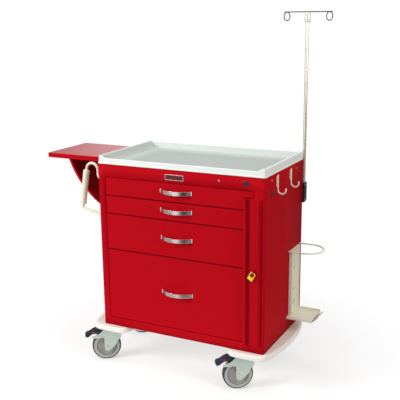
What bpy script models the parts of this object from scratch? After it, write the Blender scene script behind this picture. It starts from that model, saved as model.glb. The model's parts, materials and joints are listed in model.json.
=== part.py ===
"""Hospital crash cart: a steel drawer cabinet on swivel casters with its emergency fittings.

Modelling frame: x runs across the cabinet from its left wall, y runs back from the face of the
drawers, z runs up from the floor.  The parent empty "cart_origin" then shifts everything so that
the world origin is the middle of the whole cart's footprint, on the floor.
"""
import math

import bpy
import bmesh
from mathutils import Matrix, Vector

# ---------------------------------------------------------------- driving dimensions (metres)
INCH = 0.0254
GAP = 0.0003                      # clearance between pieces that touch
SHEET = 0.002                     # cabinet sheet steel

LEFT = -0.0060                    # outer face of the cabinet's left wall
WIDTH = 0.7265                    # outer face of its right wall
DEPTH = 0.4186
CORNER_BEND = 0.009               # flat parts of the front end this far from the right corner
CABINET_BOTTOM = 0.180
CABINET_TOP = 0.879
TRAY_TOP = 0.912
TRAY_FLOOR = 0.005                # thickness of the tray's floor
TRAY_RIM = 0.012
TRAY_SLOPE = 0.018                # inner walls lean out by this much at half height
TRAY_LIP_DROP = 0.010             # the front rim is this much lower
TRAY_LIP_INSET = 0.006
TRAY_LIP_REACH = 0.040

FACE_THICKNESS = 0.004            # drawer fronts and face frame
OPENING_LEFT = 0.0253             # drawer opening in the face frame
OPENING_RIGHT = 0.6808            # above the locking bar
OPENING_RIGHT_LOW = 0.6408        # beside the locking bar
OPENING_BOTTOM = 0.217
DRAWER_PITCHES = (3 * INCH, 3 * INCH, 6 * INCH, 12 * INCH)   # top to bottom
OPENING_TOP = OPENING_BOTTOM + sum(DRAWER_PITCHES)
DRAWER_GAP = 0.0015               # half the gap line between two drawer fronts
DRAWER_BOX_LEFT = 0.040
DRAWER_BOX_RIGHT = 0.630
DRAWER_BOX_BACK = 0.385
DRAWER_WALL = 0.0015
DRAWER_BOX_LIFT = 0.006           # box floor above the bottom edge of its front
DRAWER_BOX_DROP = 0.012           # box rim below the top edge of its front
RACK_FRONT = 0.022                # slide racks on the side walls
RACK_BACK = 0.405
RACK_BOTTOM = 0.200
RACK_TOP = 0.860
RACK_SHEET = 0.002
RACK_UPTURN = 0.010
RUNNER_LIFT = 0.020
RUNNER_CLEARANCE = 0.0018

PULL_LEFT = 0.283                 # bow pull, feet on the drawer front
PULL_RIGHT = 0.424
PULL_RISE = 0.032
PULL_HEIGHT = 0.0165
PULL_THICKNESS = 0.0025
PULL_LIFT = 0.0040                # pull above the middle of its front

BAR_BOTTOM = 0.212                # locking bar beside the drawers
BAR_TOP = 0.797
BAR_LEFT = 0.641
BAR_RISE = 0.016
BAR_SHEET = 0.0018
BAR_AXIS = Vector((0.7095, -0.0040, 0.0))
BAR_BARREL_RADIUS = 0.0030

SEAL_PIVOT = Vector((0.6830, -0.0125, 0.5130))
SEAL_TILT = math.radians(15)

BASE_CENTRE_X = 0.343             # moulded base, wider and deeper than the cabinet
BASE_CENTRE_Y = DEPTH / 2
BASE_BOTTOM = 0.155
BASE_CORNER_HALF = 0.377
BASE_MIDDLE_HALF = 0.4125
BASE_FRONT = -0.024
CASTER_CENTRE_X = 0.3215
CASTER_HALF_X = 0.3135
CASTER_HALF_Y = DEPTH / 2 - 0.0565
CASTER_TURN = math.radians(35)    # the four casters trail this way, turned from straight left
WHEEL_RADIUS = 0.0625
WHEEL_TRAIL = 0.040
TURN_STEPS = 32
FORK_TOP = 0.1472
FORK_SHEET = 0.003
FORK_HALF_GAP = 0.0215
FORK_HALF_WIDTH = 0.024
FORK_FRONT_INNER = 0.022          # inside of the fork's closed front, from the swivel axis
FORK_FRONT_BOTTOM = 0.100
PIN_RADIUS = 0.0060               # swivel pin of the head, through the fork's top
PIN_BOTTOM = 0.1385
AXLE_RADIUS = 0.0058
AXLE_HALF = 0.0228
PEDAL_HALF_WIDTH = 0.0155
PEDAL_PIVOT = (-0.060, 0.1355)    # from the swivel axis: x and height

SHELF_LEFT = -0.305               # drop shelf on the left wall
SHELF_FRONT = 0.060
SHELF_BACK = 0.340
SHELF_TOP = 0.893
SHELF_LIP = 0.020
SHELF_AXIS = Vector((LEFT - 0.006, 0.0, 0.876))
SHELF_RIGHT = LEFT - 0.0035
SHELF_SHEET = 0.0015
PROP_RADIUS = 0.3745              # the support is an arc about PROP_CENTRE
PROP_CENTRE = (0.1435, 1.0030)
PROP_HEAD_Z = 0.874
PROP_FOOT_X = LEFT - 0.004
PROP_FRONT = 0.075
PROP_BACK = 0.325
PROP_LIP = 0.011
PROP_SHEET = 0.002

HANDLE_Y = 0.030                  # push handle on the left wall
HANDLE_TUBE = 0.0055
HANDLE_GRIP = 0.0135

HOOK_ROD = 0.0038
HOOK_BEND = 0.0162
HOOK_DROP = 0.058
HOOK_TIP_RISE = 0.007
HOOKS = (("front", 0.1194, 0.8720), ("rear", 0.2658, 0.8697))   # y and height of the upper end
RING_FRONT = 0.2618               # legs of the cylinder ring
RING_BACK = 0.3930
RING_CENTRE_X = 0.7860
RING_Z = 0.5240
RING_ROD = 0.0032
BRACKET_FRONT = 0.2660            # channel of the cylinder bracket
BRACKET_BACK = 0.3772
BRACKET_BOTTOM = 0.2440
BRACKET_TOP = 0.5240
BRACKET_SHEET = 0.0025
BRACKET_STAND_OFF = 0.0085
BRACKET_PLATE_REACH = 0.039
OXYGEN_TRAY_FRONT = 0.2480
OXYGEN_TRAY_BACK = 0.3620
OXYGEN_TRAY_RIGHT = 0.862
OXYGEN_TRAY_LIP_BACK = 0.3300
OXYGEN_TRAY_FLOOR = 0.2425
OXYGEN_TRAY_SHEET = 0.0030

POLE = Vector((0.7245, 0.4386, 0.0))
POLE_RADIUS = 0.0067
POLE_BOTTOM = 0.6960
COLLAR_BOTTOM = 1.4288
COLLAR_TOP = 1.4662
HOOK_BAR_Z = 1.4690
HOOK_BAR_LEFT = 0.6242
HOOK_BAR_RIGHT = 0.8291
CLAMP_BOTTOM = 0.6940
CLAMP_TOP = 0.7790
CLAMP_LEFT = 0.7060
CLAMP_RIGHT = 0.7345
CLAMP_BACK = 0.4526
CLAMP_BORE = 0.0074
KNOB_LENGTH = 0.029
KNOB_RADIUS = 0.0138
KNOB_STEM = 0.0045
IV_WIRE = 0.0022
IV_EYES = (("left", 0.6378, 62, 310), ("right", 0.8142, 118, -310))   # centre x, start and sweep (deg)
IV_EYE_HALF_X = 0.0125
IV_EYE_HALF_Z = 0.0165
IV_EYE_DROP = 0.0172

CENTRE = Vector(((SHELF_LEFT + OXYGEN_TRAY_RIGHT) / 2, (CLAMP_BACK - PULL_RISE - GAP) / 2, 0.0))


# ---------------------------------------------------------------- scene helpers
for old in list(bpy.data.objects):
    bpy.data.objects.remove(old, do_unlink=True)

CART = bpy.data.collections.new("crash_cart")
CUTTERS = bpy.data.collections.new("cutters")
bpy.context.scene.collection.children.link(CART)
bpy.context.scene.collection.children.link(CUTTERS)
PLACE = {}                        # modelling-frame position of each empty


def material(name, colour, roughness, metallic=0.0):
    """One plain Principled material."""
    mat = bpy.data.materials.new(name)
    mat.use_nodes = True
    shader = mat.node_tree.nodes["Principled BSDF"]
    shader.inputs["Base Color"].default_value = (*colour, 1.0)
    shader.inputs["Roughness"].default_value = roughness
    shader.inputs["Metallic"].default_value = metallic
    return mat


RED = material("red_enamel", (0.56, 0.004, 0.010), 0.35)
TRAY_WHITE = material("white_abs", (0.80, 0.84, 0.80), 0.40)
BASE_WHITE = material("warm_white_abs", (0.83, 0.80, 0.76), 0.40)
IVORY = material("ivory_enamel", (0.78, 0.75, 0.62), 0.35)
STONE = material("stone_enamel", (0.60, 0.57, 0.44), 0.45)
NICKEL = material("brushed_nickel", (0.45, 0.43, 0.42), 0.30, 1.0)
CHROME = material("chrome_plate", (0.75, 0.76, 0.78), 0.10, 1.0)
ZINC = material("zinc_plate", (0.40, 0.47, 0.42), 0.45, 0.6)
GREY_CORE = material("grey_nylon", (0.30, 0.33, 0.30), 0.55)
GREY_TREAD = material("grey_rubber", (0.22, 0.24, 0.22), 0.70)
BLACK = material("black_nylon", (0.01, 0.011, 0.013), 0.45)
YELLOW = material("yellow_polypropylene", (0.80, 0.62, 0.02), 0.45)
STEEL = material("galvanised_steel", (0.45, 0.46, 0.47), 0.40, 1.0)


def into(obj, collection):
    """Move an object to one collection only."""
    for owner in list(obj.users_collection):
        owner.objects.unlink(obj)
    collection.objects.link(obj)


def empty(name, at, parent=None):
    """A named pivot; at is in the modelling frame."""
    obj = bpy.data.objects.new(name, None)
    CART.objects.link(obj)
    PLACE[name] = Vector(at)
    if parent is not None:
        obj.parent = parent
        obj.location = PLACE[name] - PLACE[parent.name]
    return obj


ORIGIN = empty("cart_origin", (0.0, 0.0, 0.0))
ORIGIN.location = -CENTRE


def settle(obj, name, mat, parent):
    """Name the object, give it its material and hang it on its parent without moving it."""
    obj.name = name
    obj.data.name = name
    obj.data.materials.clear()
    if mat is not None:
        obj.data.materials.append(mat)
    into(obj, CART if mat is not None else CUTTERS)
    parent = parent or ORIGIN
    obj.parent = parent
    obj.location = Vector(obj.location) - PLACE[parent.name]
    if mat is None:
        obj.hide_render = True
        obj.display_type = "WIRE"
    return obj


def box(name, low, high, mat, parent=None):
    """A plain box between two corners."""
    centre = (Vector(low) + Vector(high)) / 2
    bpy.ops.mesh.primitive_cube_add(size=1.0, location=centre)
    obj = bpy.context.object
    obj.scale = Vector(high) - Vector(low)
    bpy.ops.object.transform_apply(location=False, rotation=False, scale=True)
    return settle(obj, name, mat, parent)


def outline(name, loops, low, high, plane, mat, parent=None):
    """Flat closed outlines (the first one outside, the rest holes) given a thickness.

    plane XY thickens along z, XZ along y and YZ along x, from low to high.
    """
    curve = bpy.data.curves.new(name, "CURVE")
    curve.dimensions = "2D"
    curve.fill_mode = "BOTH"
    curve.extrude = (high - low) / 2
    for loop in loops:
        spline = curve.splines.new("POLY")
        spline.points.add(len(loop) - 1)
        for point, (u, v) in zip(spline.points, loop):
            point.co = (u, v, 0.0, 1.0)
        spline.use_cyclic_u = True
    obj = bpy.data.objects.new(name, curve)
    CART.objects.link(obj)
    middle = (high + low) / 2
    if plane == "XY":
        obj.location = (0.0, 0.0, middle)
    elif plane == "XZ":
        obj.location = (0.0, middle, 0.0)
        obj.rotation_euler = (math.pi / 2, 0.0, 0.0)
    else:
        obj.location = (middle, 0.0, 0.0)
        obj.rotation_euler = (math.pi / 2, 0.0, math.pi / 2)
    return settle(obj, name, mat, parent)


def tube(name, points, radius, mat, parent=None, resolution=2, closed=False):
    """A round bar along a chain of points."""
    curve = bpy.data.curves.new(name, "CURVE")
    curve.dimensions = "3D"
    curve.bevel_depth = radius
    curve.bevel_resolution = resolution
    curve.use_fill_caps = True
    spline = curve.splines.new("POLY")
    spline.points.add(len(points) - 1)
    for point, place in zip(spline.points, points):
        point.co = (*place, 1.0)
    spline.use_cyclic_u = closed
    obj = bpy.data.objects.new(name, curve)
    CART.objects.link(obj)
    return settle(obj, name, mat, parent)


def as_mesh(obj):
    """Swap a curve object for the mesh it makes, caps welded."""
    bpy.context.view_layer.update()
    graph = bpy.context.evaluated_depsgraph_get()
    mesh = bpy.data.meshes.new_from_object(obj.evaluated_get(graph))
    work = bmesh.new()
    work.from_mesh(mesh)
    bmesh.ops.remove_doubles(work, verts=work.verts, dist=0.00001)
    bmesh.ops.recalc_face_normals(work, faces=work.faces)
    work.to_mesh(mesh)
    work.free()
    name = obj.name
    solid = bpy.data.objects.new(name, mesh)
    for owner in obj.users_collection:
        owner.objects.link(solid)
    solid.parent = obj.parent
    solid.matrix_world = obj.matrix_world
    solid.hide_render = obj.hide_render
    solid.display_type = obj.display_type
    bpy.data.objects.remove(obj, do_unlink=True)
    solid.name = name
    return solid


def boolean(obj, other, operation):
    """Cut other out of obj, or join it on; both are meshes."""
    step = obj.modifiers.new(other.name, "BOOLEAN")
    step.operation = operation
    step.solver = "EXACT"
    step.object = other


def turned(name, profile, axis, at, mat, parent=None, steps=TURN_STEPS, closed=False, turn=0.0):
    """A turned piece: (radius, height) pairs run down the outer side, then back up inside."""
    mesh = bpy.data.meshes.new(name)
    count = len(profile)
    edges = [(i, (i + 1) % count) for i in range(count if closed else count - 1)]
    mesh.from_pydata([(r, 0.0, h) for r, h in profile], edges, [])
    obj = bpy.data.objects.new(name, mesh)
    CART.objects.link(obj)
    screw = obj.modifiers.new("turn", "SCREW")
    screw.axis = "Z"
    screw.steps = steps
    screw.render_steps = steps
    screw.use_merge_vertices = True
    screw.merge_threshold = 0.00001
    screw.use_smooth_shade = True
    tilt = Vector((0.0, 0.0, 1.0)).rotation_difference(Vector(axis)).to_matrix().to_4x4()
    obj.rotation_euler = (tilt @ Matrix.Rotation(turn, 4, "Z")).to_euler()
    obj.location = at
    return settle(obj, name, mat, parent)


def arc(centre, radius, start, end, steps):
    """Points on a circle in a plane, from one angle to another (degrees)."""
    angles = [math.radians(start + (end - start) * i / steps) for i in range(steps + 1)]
    return [(centre[0] + radius * math.cos(a), centre[1] + radius * math.sin(a)) for a in angles]


def bent_strip(path, thickness):
    """Outline of a strip of even thickness bent along a path, with mitred corners."""
    points = [Vector(p) for p in path]
    sides = []
    for i, point in enumerate(points):
        before = (point - points[i - 1]).normalized() if i else None
        after = (points[i + 1] - point).normalized() if i < len(points) - 1 else None
        first = before or after
        second = after or before
        normal_a = Vector((-first.y, first.x))
        normal_b = Vector((-second.y, second.x))
        mitre = (normal_a + normal_b).normalized()
        sides.append(mitre * (thickness / 2 / mitre.dot(normal_a)))
    left = [tuple(p + s) for p, s in zip(points, sides)]
    right = [tuple(p - s) for p, s in zip(points, sides)]
    return left + right[::-1]


# ---------------------------------------------------------------- cabinet
def build_cabinet():
    back = DEPTH - SHEET
    inner = SHEET + GAP
    start = FACE_THICKNESS + GAP
    low = CABINET_BOTTOM + GAP
    box("left_side_panel", (LEFT, start, low), (LEFT + SHEET, DEPTH, CABINET_TOP), RED)
    box("right_side_panel", (WIDTH - SHEET, start, low), (WIDTH, DEPTH, CABINET_TOP), RED)
    box("back_panel", (LEFT + inner, back, low), (WIDTH - inner, DEPTH, CABINET_TOP), RED)
    box("bottom_panel", (LEFT + inner, start, low), (WIDTH - inner, back - GAP, low + SHEET), RED)
    box("top_panel", (LEFT + inner, start, CABINET_TOP - SHEET),
        (WIDTH - inner, back - GAP, CABINET_TOP), RED)

    step_z = BAR_TOP + DRAWER_GAP
    hole = [(OPENING_LEFT, OPENING_BOTTOM), (OPENING_RIGHT_LOW, OPENING_BOTTOM),
            (OPENING_RIGHT_LOW, step_z), (OPENING_RIGHT, step_z),
            (OPENING_RIGHT, OPENING_TOP), (OPENING_LEFT, OPENING_TOP)]
    face = [(LEFT, low), (WIDTH, low), (WIDTH, CABINET_TOP), (LEFT, CABINET_TOP)]
    outline("front_frame", [face, hole], 0.0, FACE_THICKNESS, "XZ", RED)
    box("nameplate", (0.307, -GAP - SHEET, 0.8385), (0.388, -GAP, 0.861), NICKEL)


def rack_outline(wall_x, tip_x):
    """Comb of four L-shaped runners standing out of a plate on a side wall."""
    out = 1.0 if tip_x > wall_x else -1.0
    plate = wall_x + out * SHEET
    runner = RACK_SHEET
    upturn = RACK_UPTURN
    points = [(wall_x, RACK_BOTTOM), (plate, RACK_BOTTOM)]
    bottom = OPENING_BOTTOM
    for pitch in reversed(DRAWER_PITCHES):
        z = bottom + RUNNER_LIFT
        points += [(plate, z), (tip_x, z), (tip_x, z + upturn), (tip_x - out * runner, z + upturn),
                   (tip_x - out * runner, z + runner), (plate, z + runner)]
        bottom += pitch
    points += [(plate, RACK_TOP), (wall_x, RACK_TOP)]
    return points


def build_racks():
    left = rack_outline(LEFT + SHEET + GAP, DRAWER_BOX_LEFT - RUNNER_CLEARANCE)
    right = rack_outline(WIDTH - SHEET - GAP, DRAWER_BOX_RIGHT + RUNNER_CLEARANCE)
    outline("left_slide_rack", [left], RACK_FRONT, RACK_BACK, "XZ", STEEL)
    outline("right_slide_rack", [right], RACK_FRONT, RACK_BACK, "XZ", STEEL)


def build_tray():
    tray = box("top_tray", (LEFT, 0.0, CABINET_TOP + GAP), (WIDTH, DEPTH, TRAY_TOP), TRAY_WHITE)
    floor = CABINET_TOP + GAP + TRAY_FLOOR
    rim = TRAY_RIM
    slope = TRAY_SLOPE
    pocket = box("tray_pocket", (LEFT + rim, rim, floor),
                 (WIDTH - rim, DEPTH - rim, 2 * TRAY_TOP - floor), None)
    for vertex in pocket.data.vertices:
        if vertex.co.z < 0.0:
            vertex.co.x -= math.copysign(slope, vertex.co.x)
            vertex.co.y -= math.copysign(slope, vertex.co.y)
        else:
            vertex.co.x += math.copysign(slope, vertex.co.x)
            vertex.co.y += math.copysign(slope, vertex.co.y)
    boolean(tray, pocket, "DIFFERENCE")
    end = rim + TRAY_LIP_INSET
    lip_cut = box("tray_lip_cut", (LEFT + end, -TRAY_LIP_REACH, TRAY_TOP - TRAY_LIP_DROP),
                  (WIDTH - end, TRAY_LIP_REACH, TRAY_TOP + TRAY_LIP_DROP), None)
    boolean(tray, lip_cut, "DIFFERENCE")


# ---------------------------------------------------------------- drawers
def drawer_edges():
    """Bottom and top gap line of each drawer, top drawer first."""
    edges = []
    top = OPENING_TOP
    for pitch in DRAWER_PITCHES:
        edges.append((top - pitch, top))
        top -= pitch
    return edges


def build_drawers():
    for number, (bottom, top) in enumerate(drawer_edges(), start=1):
        slide = empty(f"drawer_{number}_slide", (0.3535, 0.0, (bottom + top) / 2), ORIGIN)
        low = bottom + DRAWER_GAP
        high = top - DRAWER_GAP
        left = OPENING_LEFT + DRAWER_GAP
        right = OPENING_RIGHT_LOW - DRAWER_GAP
        face = [(left, low), (right, low), (right, high), (left, high)]
        if number == 1:
            step = BAR_TOP + 2 * DRAWER_GAP
            wide = OPENING_RIGHT - DRAWER_GAP
            face = [(left, low), (right, low), (right, step), (wide, step), (wide, high), (left, high)]
        outline(f"drawer_{number}_front", [face], 0.0, FACE_THICKNESS, "XZ", RED, slide)

        body = box(f"drawer_{number}_box", (DRAWER_BOX_LEFT, FACE_THICKNESS + GAP, low + DRAWER_BOX_LIFT),
                   (DRAWER_BOX_RIGHT, DRAWER_BOX_BACK, high - DRAWER_BOX_DROP), STEEL, slide)
        work = bmesh.new()
        work.from_mesh(body.data)
        lid = [face for face in work.faces if face.normal.z > 0.9]
        bmesh.ops.delete(work, geom=lid, context="FACES_ONLY")
        work.to_mesh(body.data)
        work.free()
        wall = body.modifiers.new("wall", "SOLIDIFY")
        wall.thickness = DRAWER_WALL
        wall.offset = -1.0
        wall.use_even_offset = True

        middle = (bottom + top) / 2 + PULL_LIFT
        half = (PULL_RIGHT - PULL_LEFT) / 2
        radius = (half ** 2 + PULL_RISE ** 2) / (2 * PULL_RISE)
        spread = math.degrees(math.asin(half / radius))
        hub = ((PULL_LEFT + PULL_RIGHT) / 2, radius - PULL_RISE - GAP)
        outside = arc(hub, radius, 270 - spread, 270 + spread, 12)
        inside = arc(hub, radius - PULL_THICKNESS, 270 + spread, 270 - spread, 12)
        inside = [(x, min(y, -GAP)) for x, y in inside]
        outline(f"drawer_{number}_pull", [outside + inside], middle - PULL_HEIGHT / 2,
                middle + PULL_HEIGHT / 2, "XY", NICKEL, slide)


# ---------------------------------------------------------------- locking bar and seal
def build_locking_bar():
    pivot = empty("locking_bar_hinge", BAR_AXIS, ORIGIN)
    half = BAR_SHEET / 2
    path = [(BAR_LEFT + half, -0.0012), (BAR_LEFT + half, -BAR_RISE + half),
            (BAR_LEFT + 0.0110, -BAR_RISE + half), (BAR_LEFT + 0.0190, BAR_AXIS.y),
            (BAR_AXIS.x - BAR_BARREL_RADIUS - 0.0005, BAR_AXIS.y)]
    outline("locking_bar", [bent_strip(path, BAR_SHEET)], BAR_BOTTOM, BAR_TOP, "XY", RED, pivot)

    leaf_left = BAR_AXIS.x + BAR_BARREL_RADIUS * 0.9
    barrel = outline("bar_hinge_leaf", [arc((BAR_AXIS.x, BAR_AXIS.y), BAR_BARREL_RADIUS, 0, 315, 7)],
                     BAR_BOTTOM, BAR_TOP, "XY", RED)
    barrel = as_mesh(barrel)
    leaf = box("bar_leaf_strip", (leaf_left - 0.0015, -0.0020, BAR_BOTTOM + 0.0005),
               (WIDTH - CORNER_BEND, -GAP, BAR_TOP - 0.0005), None)
    boolean(barrel, leaf, "UNION")

    hasp = box("bar_hasp", (SEAL_PIVOT.x - 0.0009, -0.0185, SEAL_PIVOT.z - 0.009),
               (SEAL_PIVOT.x + 0.0009, BAR_AXIS.y - half - GAP, SEAL_PIVOT.z + 0.011), STEEL, pivot)
    eye = turned("hasp_eye", [(0.0, 0.01), (0.0036, 0.01), (0.0036, -0.01), (0.0, -0.01)],
                 (1.0, 0.0, 0.0), SEAL_PIVOT, None, pivot, steps=12)
    boolean(hasp, eye, "DIFFERENCE")

    swing = empty("seal_pivot", SEAL_PIVOT, pivot)
    swing.rotation_euler = (0.0, SEAL_TILT, 0.0)
    bpy.context.view_layer.update()
    half_width = 0.0115
    leg = 0.0185
    path = [(-half_width, 0.0, -leg), (-half_width, 0.0, -0.003), (-half_width + 0.003, 0.0, 0.0),
            (half_width - 0.003, 0.0, 0.0), (half_width, 0.0, -0.003), (half_width, 0.0, -leg)]
    shackle = tube("security_seal", [SEAL_PIVOT + Vector(p) for p in path], 0.0014, YELLOW, swing)
    shackle = as_mesh(shackle)
    body = box("seal_body", SEAL_PIVOT + Vector((-0.0135, -0.0025, -0.034)),
               SEAL_PIVOT + Vector((0.0135, 0.0025, -0.0165)), None, swing)
    boolean(shackle, body, "UNION")


# ---------------------------------------------------------------- base and casters
def base_outline():
    """Plan of the base: bowed ends, a lobe over each caster and a waist between the front lobes."""
    half_depth = BASE_CENTRE_Y - BASE_FRONT
    sag = BASE_MIDDLE_HALF - BASE_CORNER_HALF
    chord = BASE_CENTRE_Y
    radius = (chord ** 2 + sag ** 2) / (2 * sag)
    spread = math.degrees(math.asin(chord / radius))
    bow = arc((BASE_MIDDLE_HALF - radius, 0.0), radius, 0, spread, 7)
    corner_x = 0.048
    corner_y = half_depth - chord
    corner = [(BASE_CORNER_HALF - corner_x * (1 - math.cos(a)), chord + corner_y * math.sin(a))
              for a in [math.radians(18 * i) for i in range(1, 6)]]
    waist = [(x, y) for x, y in ((0.262, half_depth), (0.246, half_depth - 0.006),
                                 (0.232, half_depth - 0.024), (0.218, half_depth - 0.050),
                                 (0.200, half_depth - 0.064), (0.170, half_depth - 0.068))]
    quarter = bow + corner + waist
    upper = quarter + [(-x, y) for x, y in reversed(quarter)]
    lower = [(x, -y) for x, y in reversed(upper[1:-1])]
    return [(BASE_CENTRE_X + x, BASE_CENTRE_Y + y) for x, y in upper + lower]


def fork_side(braked):
    """Side view of a caster fork about its swivel axis; a braked fork carries the pedal's nose."""
    front = [(0.0270, FORK_TOP), (0.0260, 0.1180), (0.0170, 0.0920), (0.0000, 0.0690), (-0.0240, 0.0465)]
    tip = [(-0.0330, 0.0425), (-0.0420, 0.0428), (-0.0483, 0.0475), (-0.0500, 0.0540)]
    if braked:
        rear = [(-0.0500, 0.1040), (-0.0980, 0.1040), (-0.1040, 0.1080), (-0.1040, 0.1130),
                (-0.0720, 0.1225), (-0.0460, FORK_TOP)]
    else:
        rear = [(-0.0500, 0.1040), (-0.0530, 0.1160), (-0.0510, 0.1320), (-0.0440, FORK_TOP)]
    return front + tip + rear


def build_casters():
    outline("base_bumper", [base_outline()], BASE_BOTTOM, CABINET_BOTTOM, "XY", BASE_WHITE)
    step = math.pi / TURN_STEPS
    flat = math.cos(step)         # facets touch the true radius, so a flat meets the floor
    for name, side_x, side_y in (("front_left", -1, -1), ("front_right", 1, -1),
                                 ("rear_left", -1, 1), ("rear_right", 1, 1)):
        x = CASTER_CENTRE_X + side_x * CASTER_HALF_X
        y = BASE_CENTRE_Y + side_y * CASTER_HALF_Y
        braked = side_y < 0
        turned(f"caster_head_{name}",
               [(0.0, BASE_BOTTOM - GAP), (0.027, BASE_BOTTOM - GAP), (0.027, FORK_TOP + GAP),
                (PIN_RADIUS, FORK_TOP + GAP), (PIN_RADIUS, PIN_BOTTOM), (0.0, PIN_BOTTOM)],
               (0.0, 0.0, 1.0), (x, y, 0.0), ZINC, steps=20)

        swivel = empty(f"swivel_{name}", (x, y, 0.0), ORIGIN)
        swivel.rotation_euler = (0.0, 0.0, CASTER_TURN)
        bpy.context.view_layer.update()
        side = [(x + u, z) for u, z in fork_side(braked)]
        fork = as_mesh(outline(f"caster_fork_{name}", [side], y - FORK_HALF_WIDTH,
                               y + FORK_HALF_WIDTH, "XZ", ZINC, swivel))
        slot = box(f"fork_slot_{name}", (x - 2 * WHEEL_RADIUS, y - FORK_HALF_GAP, 0.0),
                   (x + FORK_FRONT_INNER, y + FORK_HALF_GAP, FORK_TOP - FORK_SHEET), None, swivel)
        boolean(fork, slot, "DIFFERENCE")
        mouth = box(f"fork_mouth_{name}", (x, y - FORK_HALF_GAP, 0.0),
                    (x + WHEEL_RADIUS, y + FORK_HALF_GAP, FORK_FRONT_BOTTOM), None, swivel)
        boolean(fork, mouth, "DIFFERENCE")
        hole = PIN_RADIUS + 2 * GAP
        pin_hole = turned(f"fork_pin_hole_{name}",
                          [(0.0, BASE_BOTTOM), (hole, BASE_BOTTOM), (hole, PIN_BOTTOM), (0.0, PIN_BOTTOM)],
                          (0.0, 0.0, 1.0), (x, y, 0.0), None, swivel, steps=20)
        boolean(fork, pin_hole, "DIFFERENCE")
        axle = turned(f"axle_{name}", [(0.0, AXLE_HALF), (AXLE_RADIUS, AXLE_HALF),
                                       (AXLE_RADIUS, -AXLE_HALF), (0.0, -AXLE_HALF)],
                      (0.0, -1.0, 0.0), (x - WHEEL_TRAIL, y, WHEEL_RADIUS), None, swivel, steps=12)
        boolean(fork, axle, "UNION")

        hub = (x - WHEEL_TRAIL, y, WHEEL_RADIUS)
        spin = empty(f"wheel_axis_{name}", hub, swivel)
        core = [(0.014, 0.0195), (0.014, 0.009), (0.038, 0.009), (0.040, 0.0145), (0.0468 / flat, 0.0145),
                (0.0468 / flat, -0.0145), (0.040, -0.0145), (0.038, -0.009), (0.014, -0.009),
                (0.014, -0.0195), (0.0068, -0.0195), (0.0068, 0.0195)]
        turned(f"wheel_core_{name}", core, (0.0, -1.0, 0.0), hub, GREY_CORE, spin, closed=True, turn=step)
        rim = WHEEL_RADIUS / flat
        tread = [(0.0555, 0.016), (rim - 0.002, 0.0140), (rim, 0.0100), (rim, -0.0100),
                 (rim - 0.002, -0.0140), (0.0555, -0.016), (0.0473 / flat, -0.0155), (0.0473 / flat, 0.0155)]
        turned(f"wheel_tyre_{name}", tread, (0.0, -1.0, 0.0), hub, GREY_TREAD, spin, closed=True, turn=step)

        if braked:
            px, pz = PEDAL_PIVOT
            hinge = empty(f"pedal_axis_{name}", (x + px, y, pz), swivel)
            lever = [(-0.053, 0.1395), (-0.066, 0.1437), (-0.085, 0.1440), (-0.100, 0.1375),
                     (-0.113, 0.1275), (-0.123, 0.1262), (-0.1305, 0.1205), (-0.1315, 0.1120),
                     (-0.125, 0.1062), (-0.1155, 0.1085), (-0.104, 0.1185), (-0.090, 0.1250),
                     (-0.072, 0.1290), (-0.056, 0.1300)]
            outline(f"brake_pedal_{name}", [[(x + u, z) for u, z in lever]], y - PEDAL_HALF_WIDTH,
                    y + PEDAL_HALF_WIDTH, "XZ", BLACK, hinge)


# ---------------------------------------------------------------- drop shelf and its support
def build_shelf():
    hinge = empty("side_shelf_hinge", SHELF_AXIS, ORIGIN)
    shelf = box("side_shelf", (SHELF_LEFT, SHELF_FRONT, SHELF_TOP - SHELF_LIP),
                (SHELF_RIGHT, SHELF_BACK, SHELF_TOP), RED, hinge)
    work = bmesh.new()
    work.from_mesh(shelf.data)
    under = [face for face in work.faces if face.normal.z < -0.9]
    bmesh.ops.delete(work, geom=under, context="FACES_ONLY")
    work.to_mesh(shelf.data)
    work.free()
    wall = shelf.modifiers.new("wall", "SOLIDIFY")
    wall.thickness = SHELF_SHEET
    wall.offset = -1.0
    wall.use_even_offset = True
    box("shelf_hinge_leaf", (LEFT - GAP - SHEET, SHELF_FRONT + 0.010, 0.842),
        (LEFT - GAP, SHELF_BACK - 0.010, 0.8715), RED)

    head_angle = 180 - math.degrees(math.asin((PROP_HEAD_Z - PROP_CENTRE[1]) / PROP_RADIUS))
    foot_angle = 180 + math.degrees(math.acos((PROP_CENTRE[0] - PROP_FOOT_X) / PROP_RADIUS))
    steps = 10
    outer = arc(PROP_CENTRE, PROP_RADIUS, head_angle, foot_angle, steps)
    pivot = empty("shelf_prop_hinge", (outer[0][0], 0.0, PROP_HEAD_Z), hinge)
    back = arc(PROP_CENTRE, PROP_RADIUS - PROP_LIP, foot_angle - 1.0, head_angle, steps)
    prop = as_mesh(outline("shelf_prop", [outer + back], PROP_FRONT, PROP_BACK, "XZ", RED, pivot))
    skin = PROP_RADIUS - PROP_SHEET
    trough_outer = arc(PROP_CENTRE, skin, head_angle - 8, foot_angle + 8, steps + 4)
    trough_inner = arc(PROP_CENTRE, PROP_RADIUS - 0.030, foot_angle + 8, head_angle - 8, steps + 4)
    trough = as_mesh(outline("prop_trough", [trough_outer + trough_inner], PROP_FRONT + PROP_SHEET,
                             PROP_BACK - PROP_SHEET, "XZ", None, pivot))
    boolean(prop, trough, "DIFFERENCE")


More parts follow.
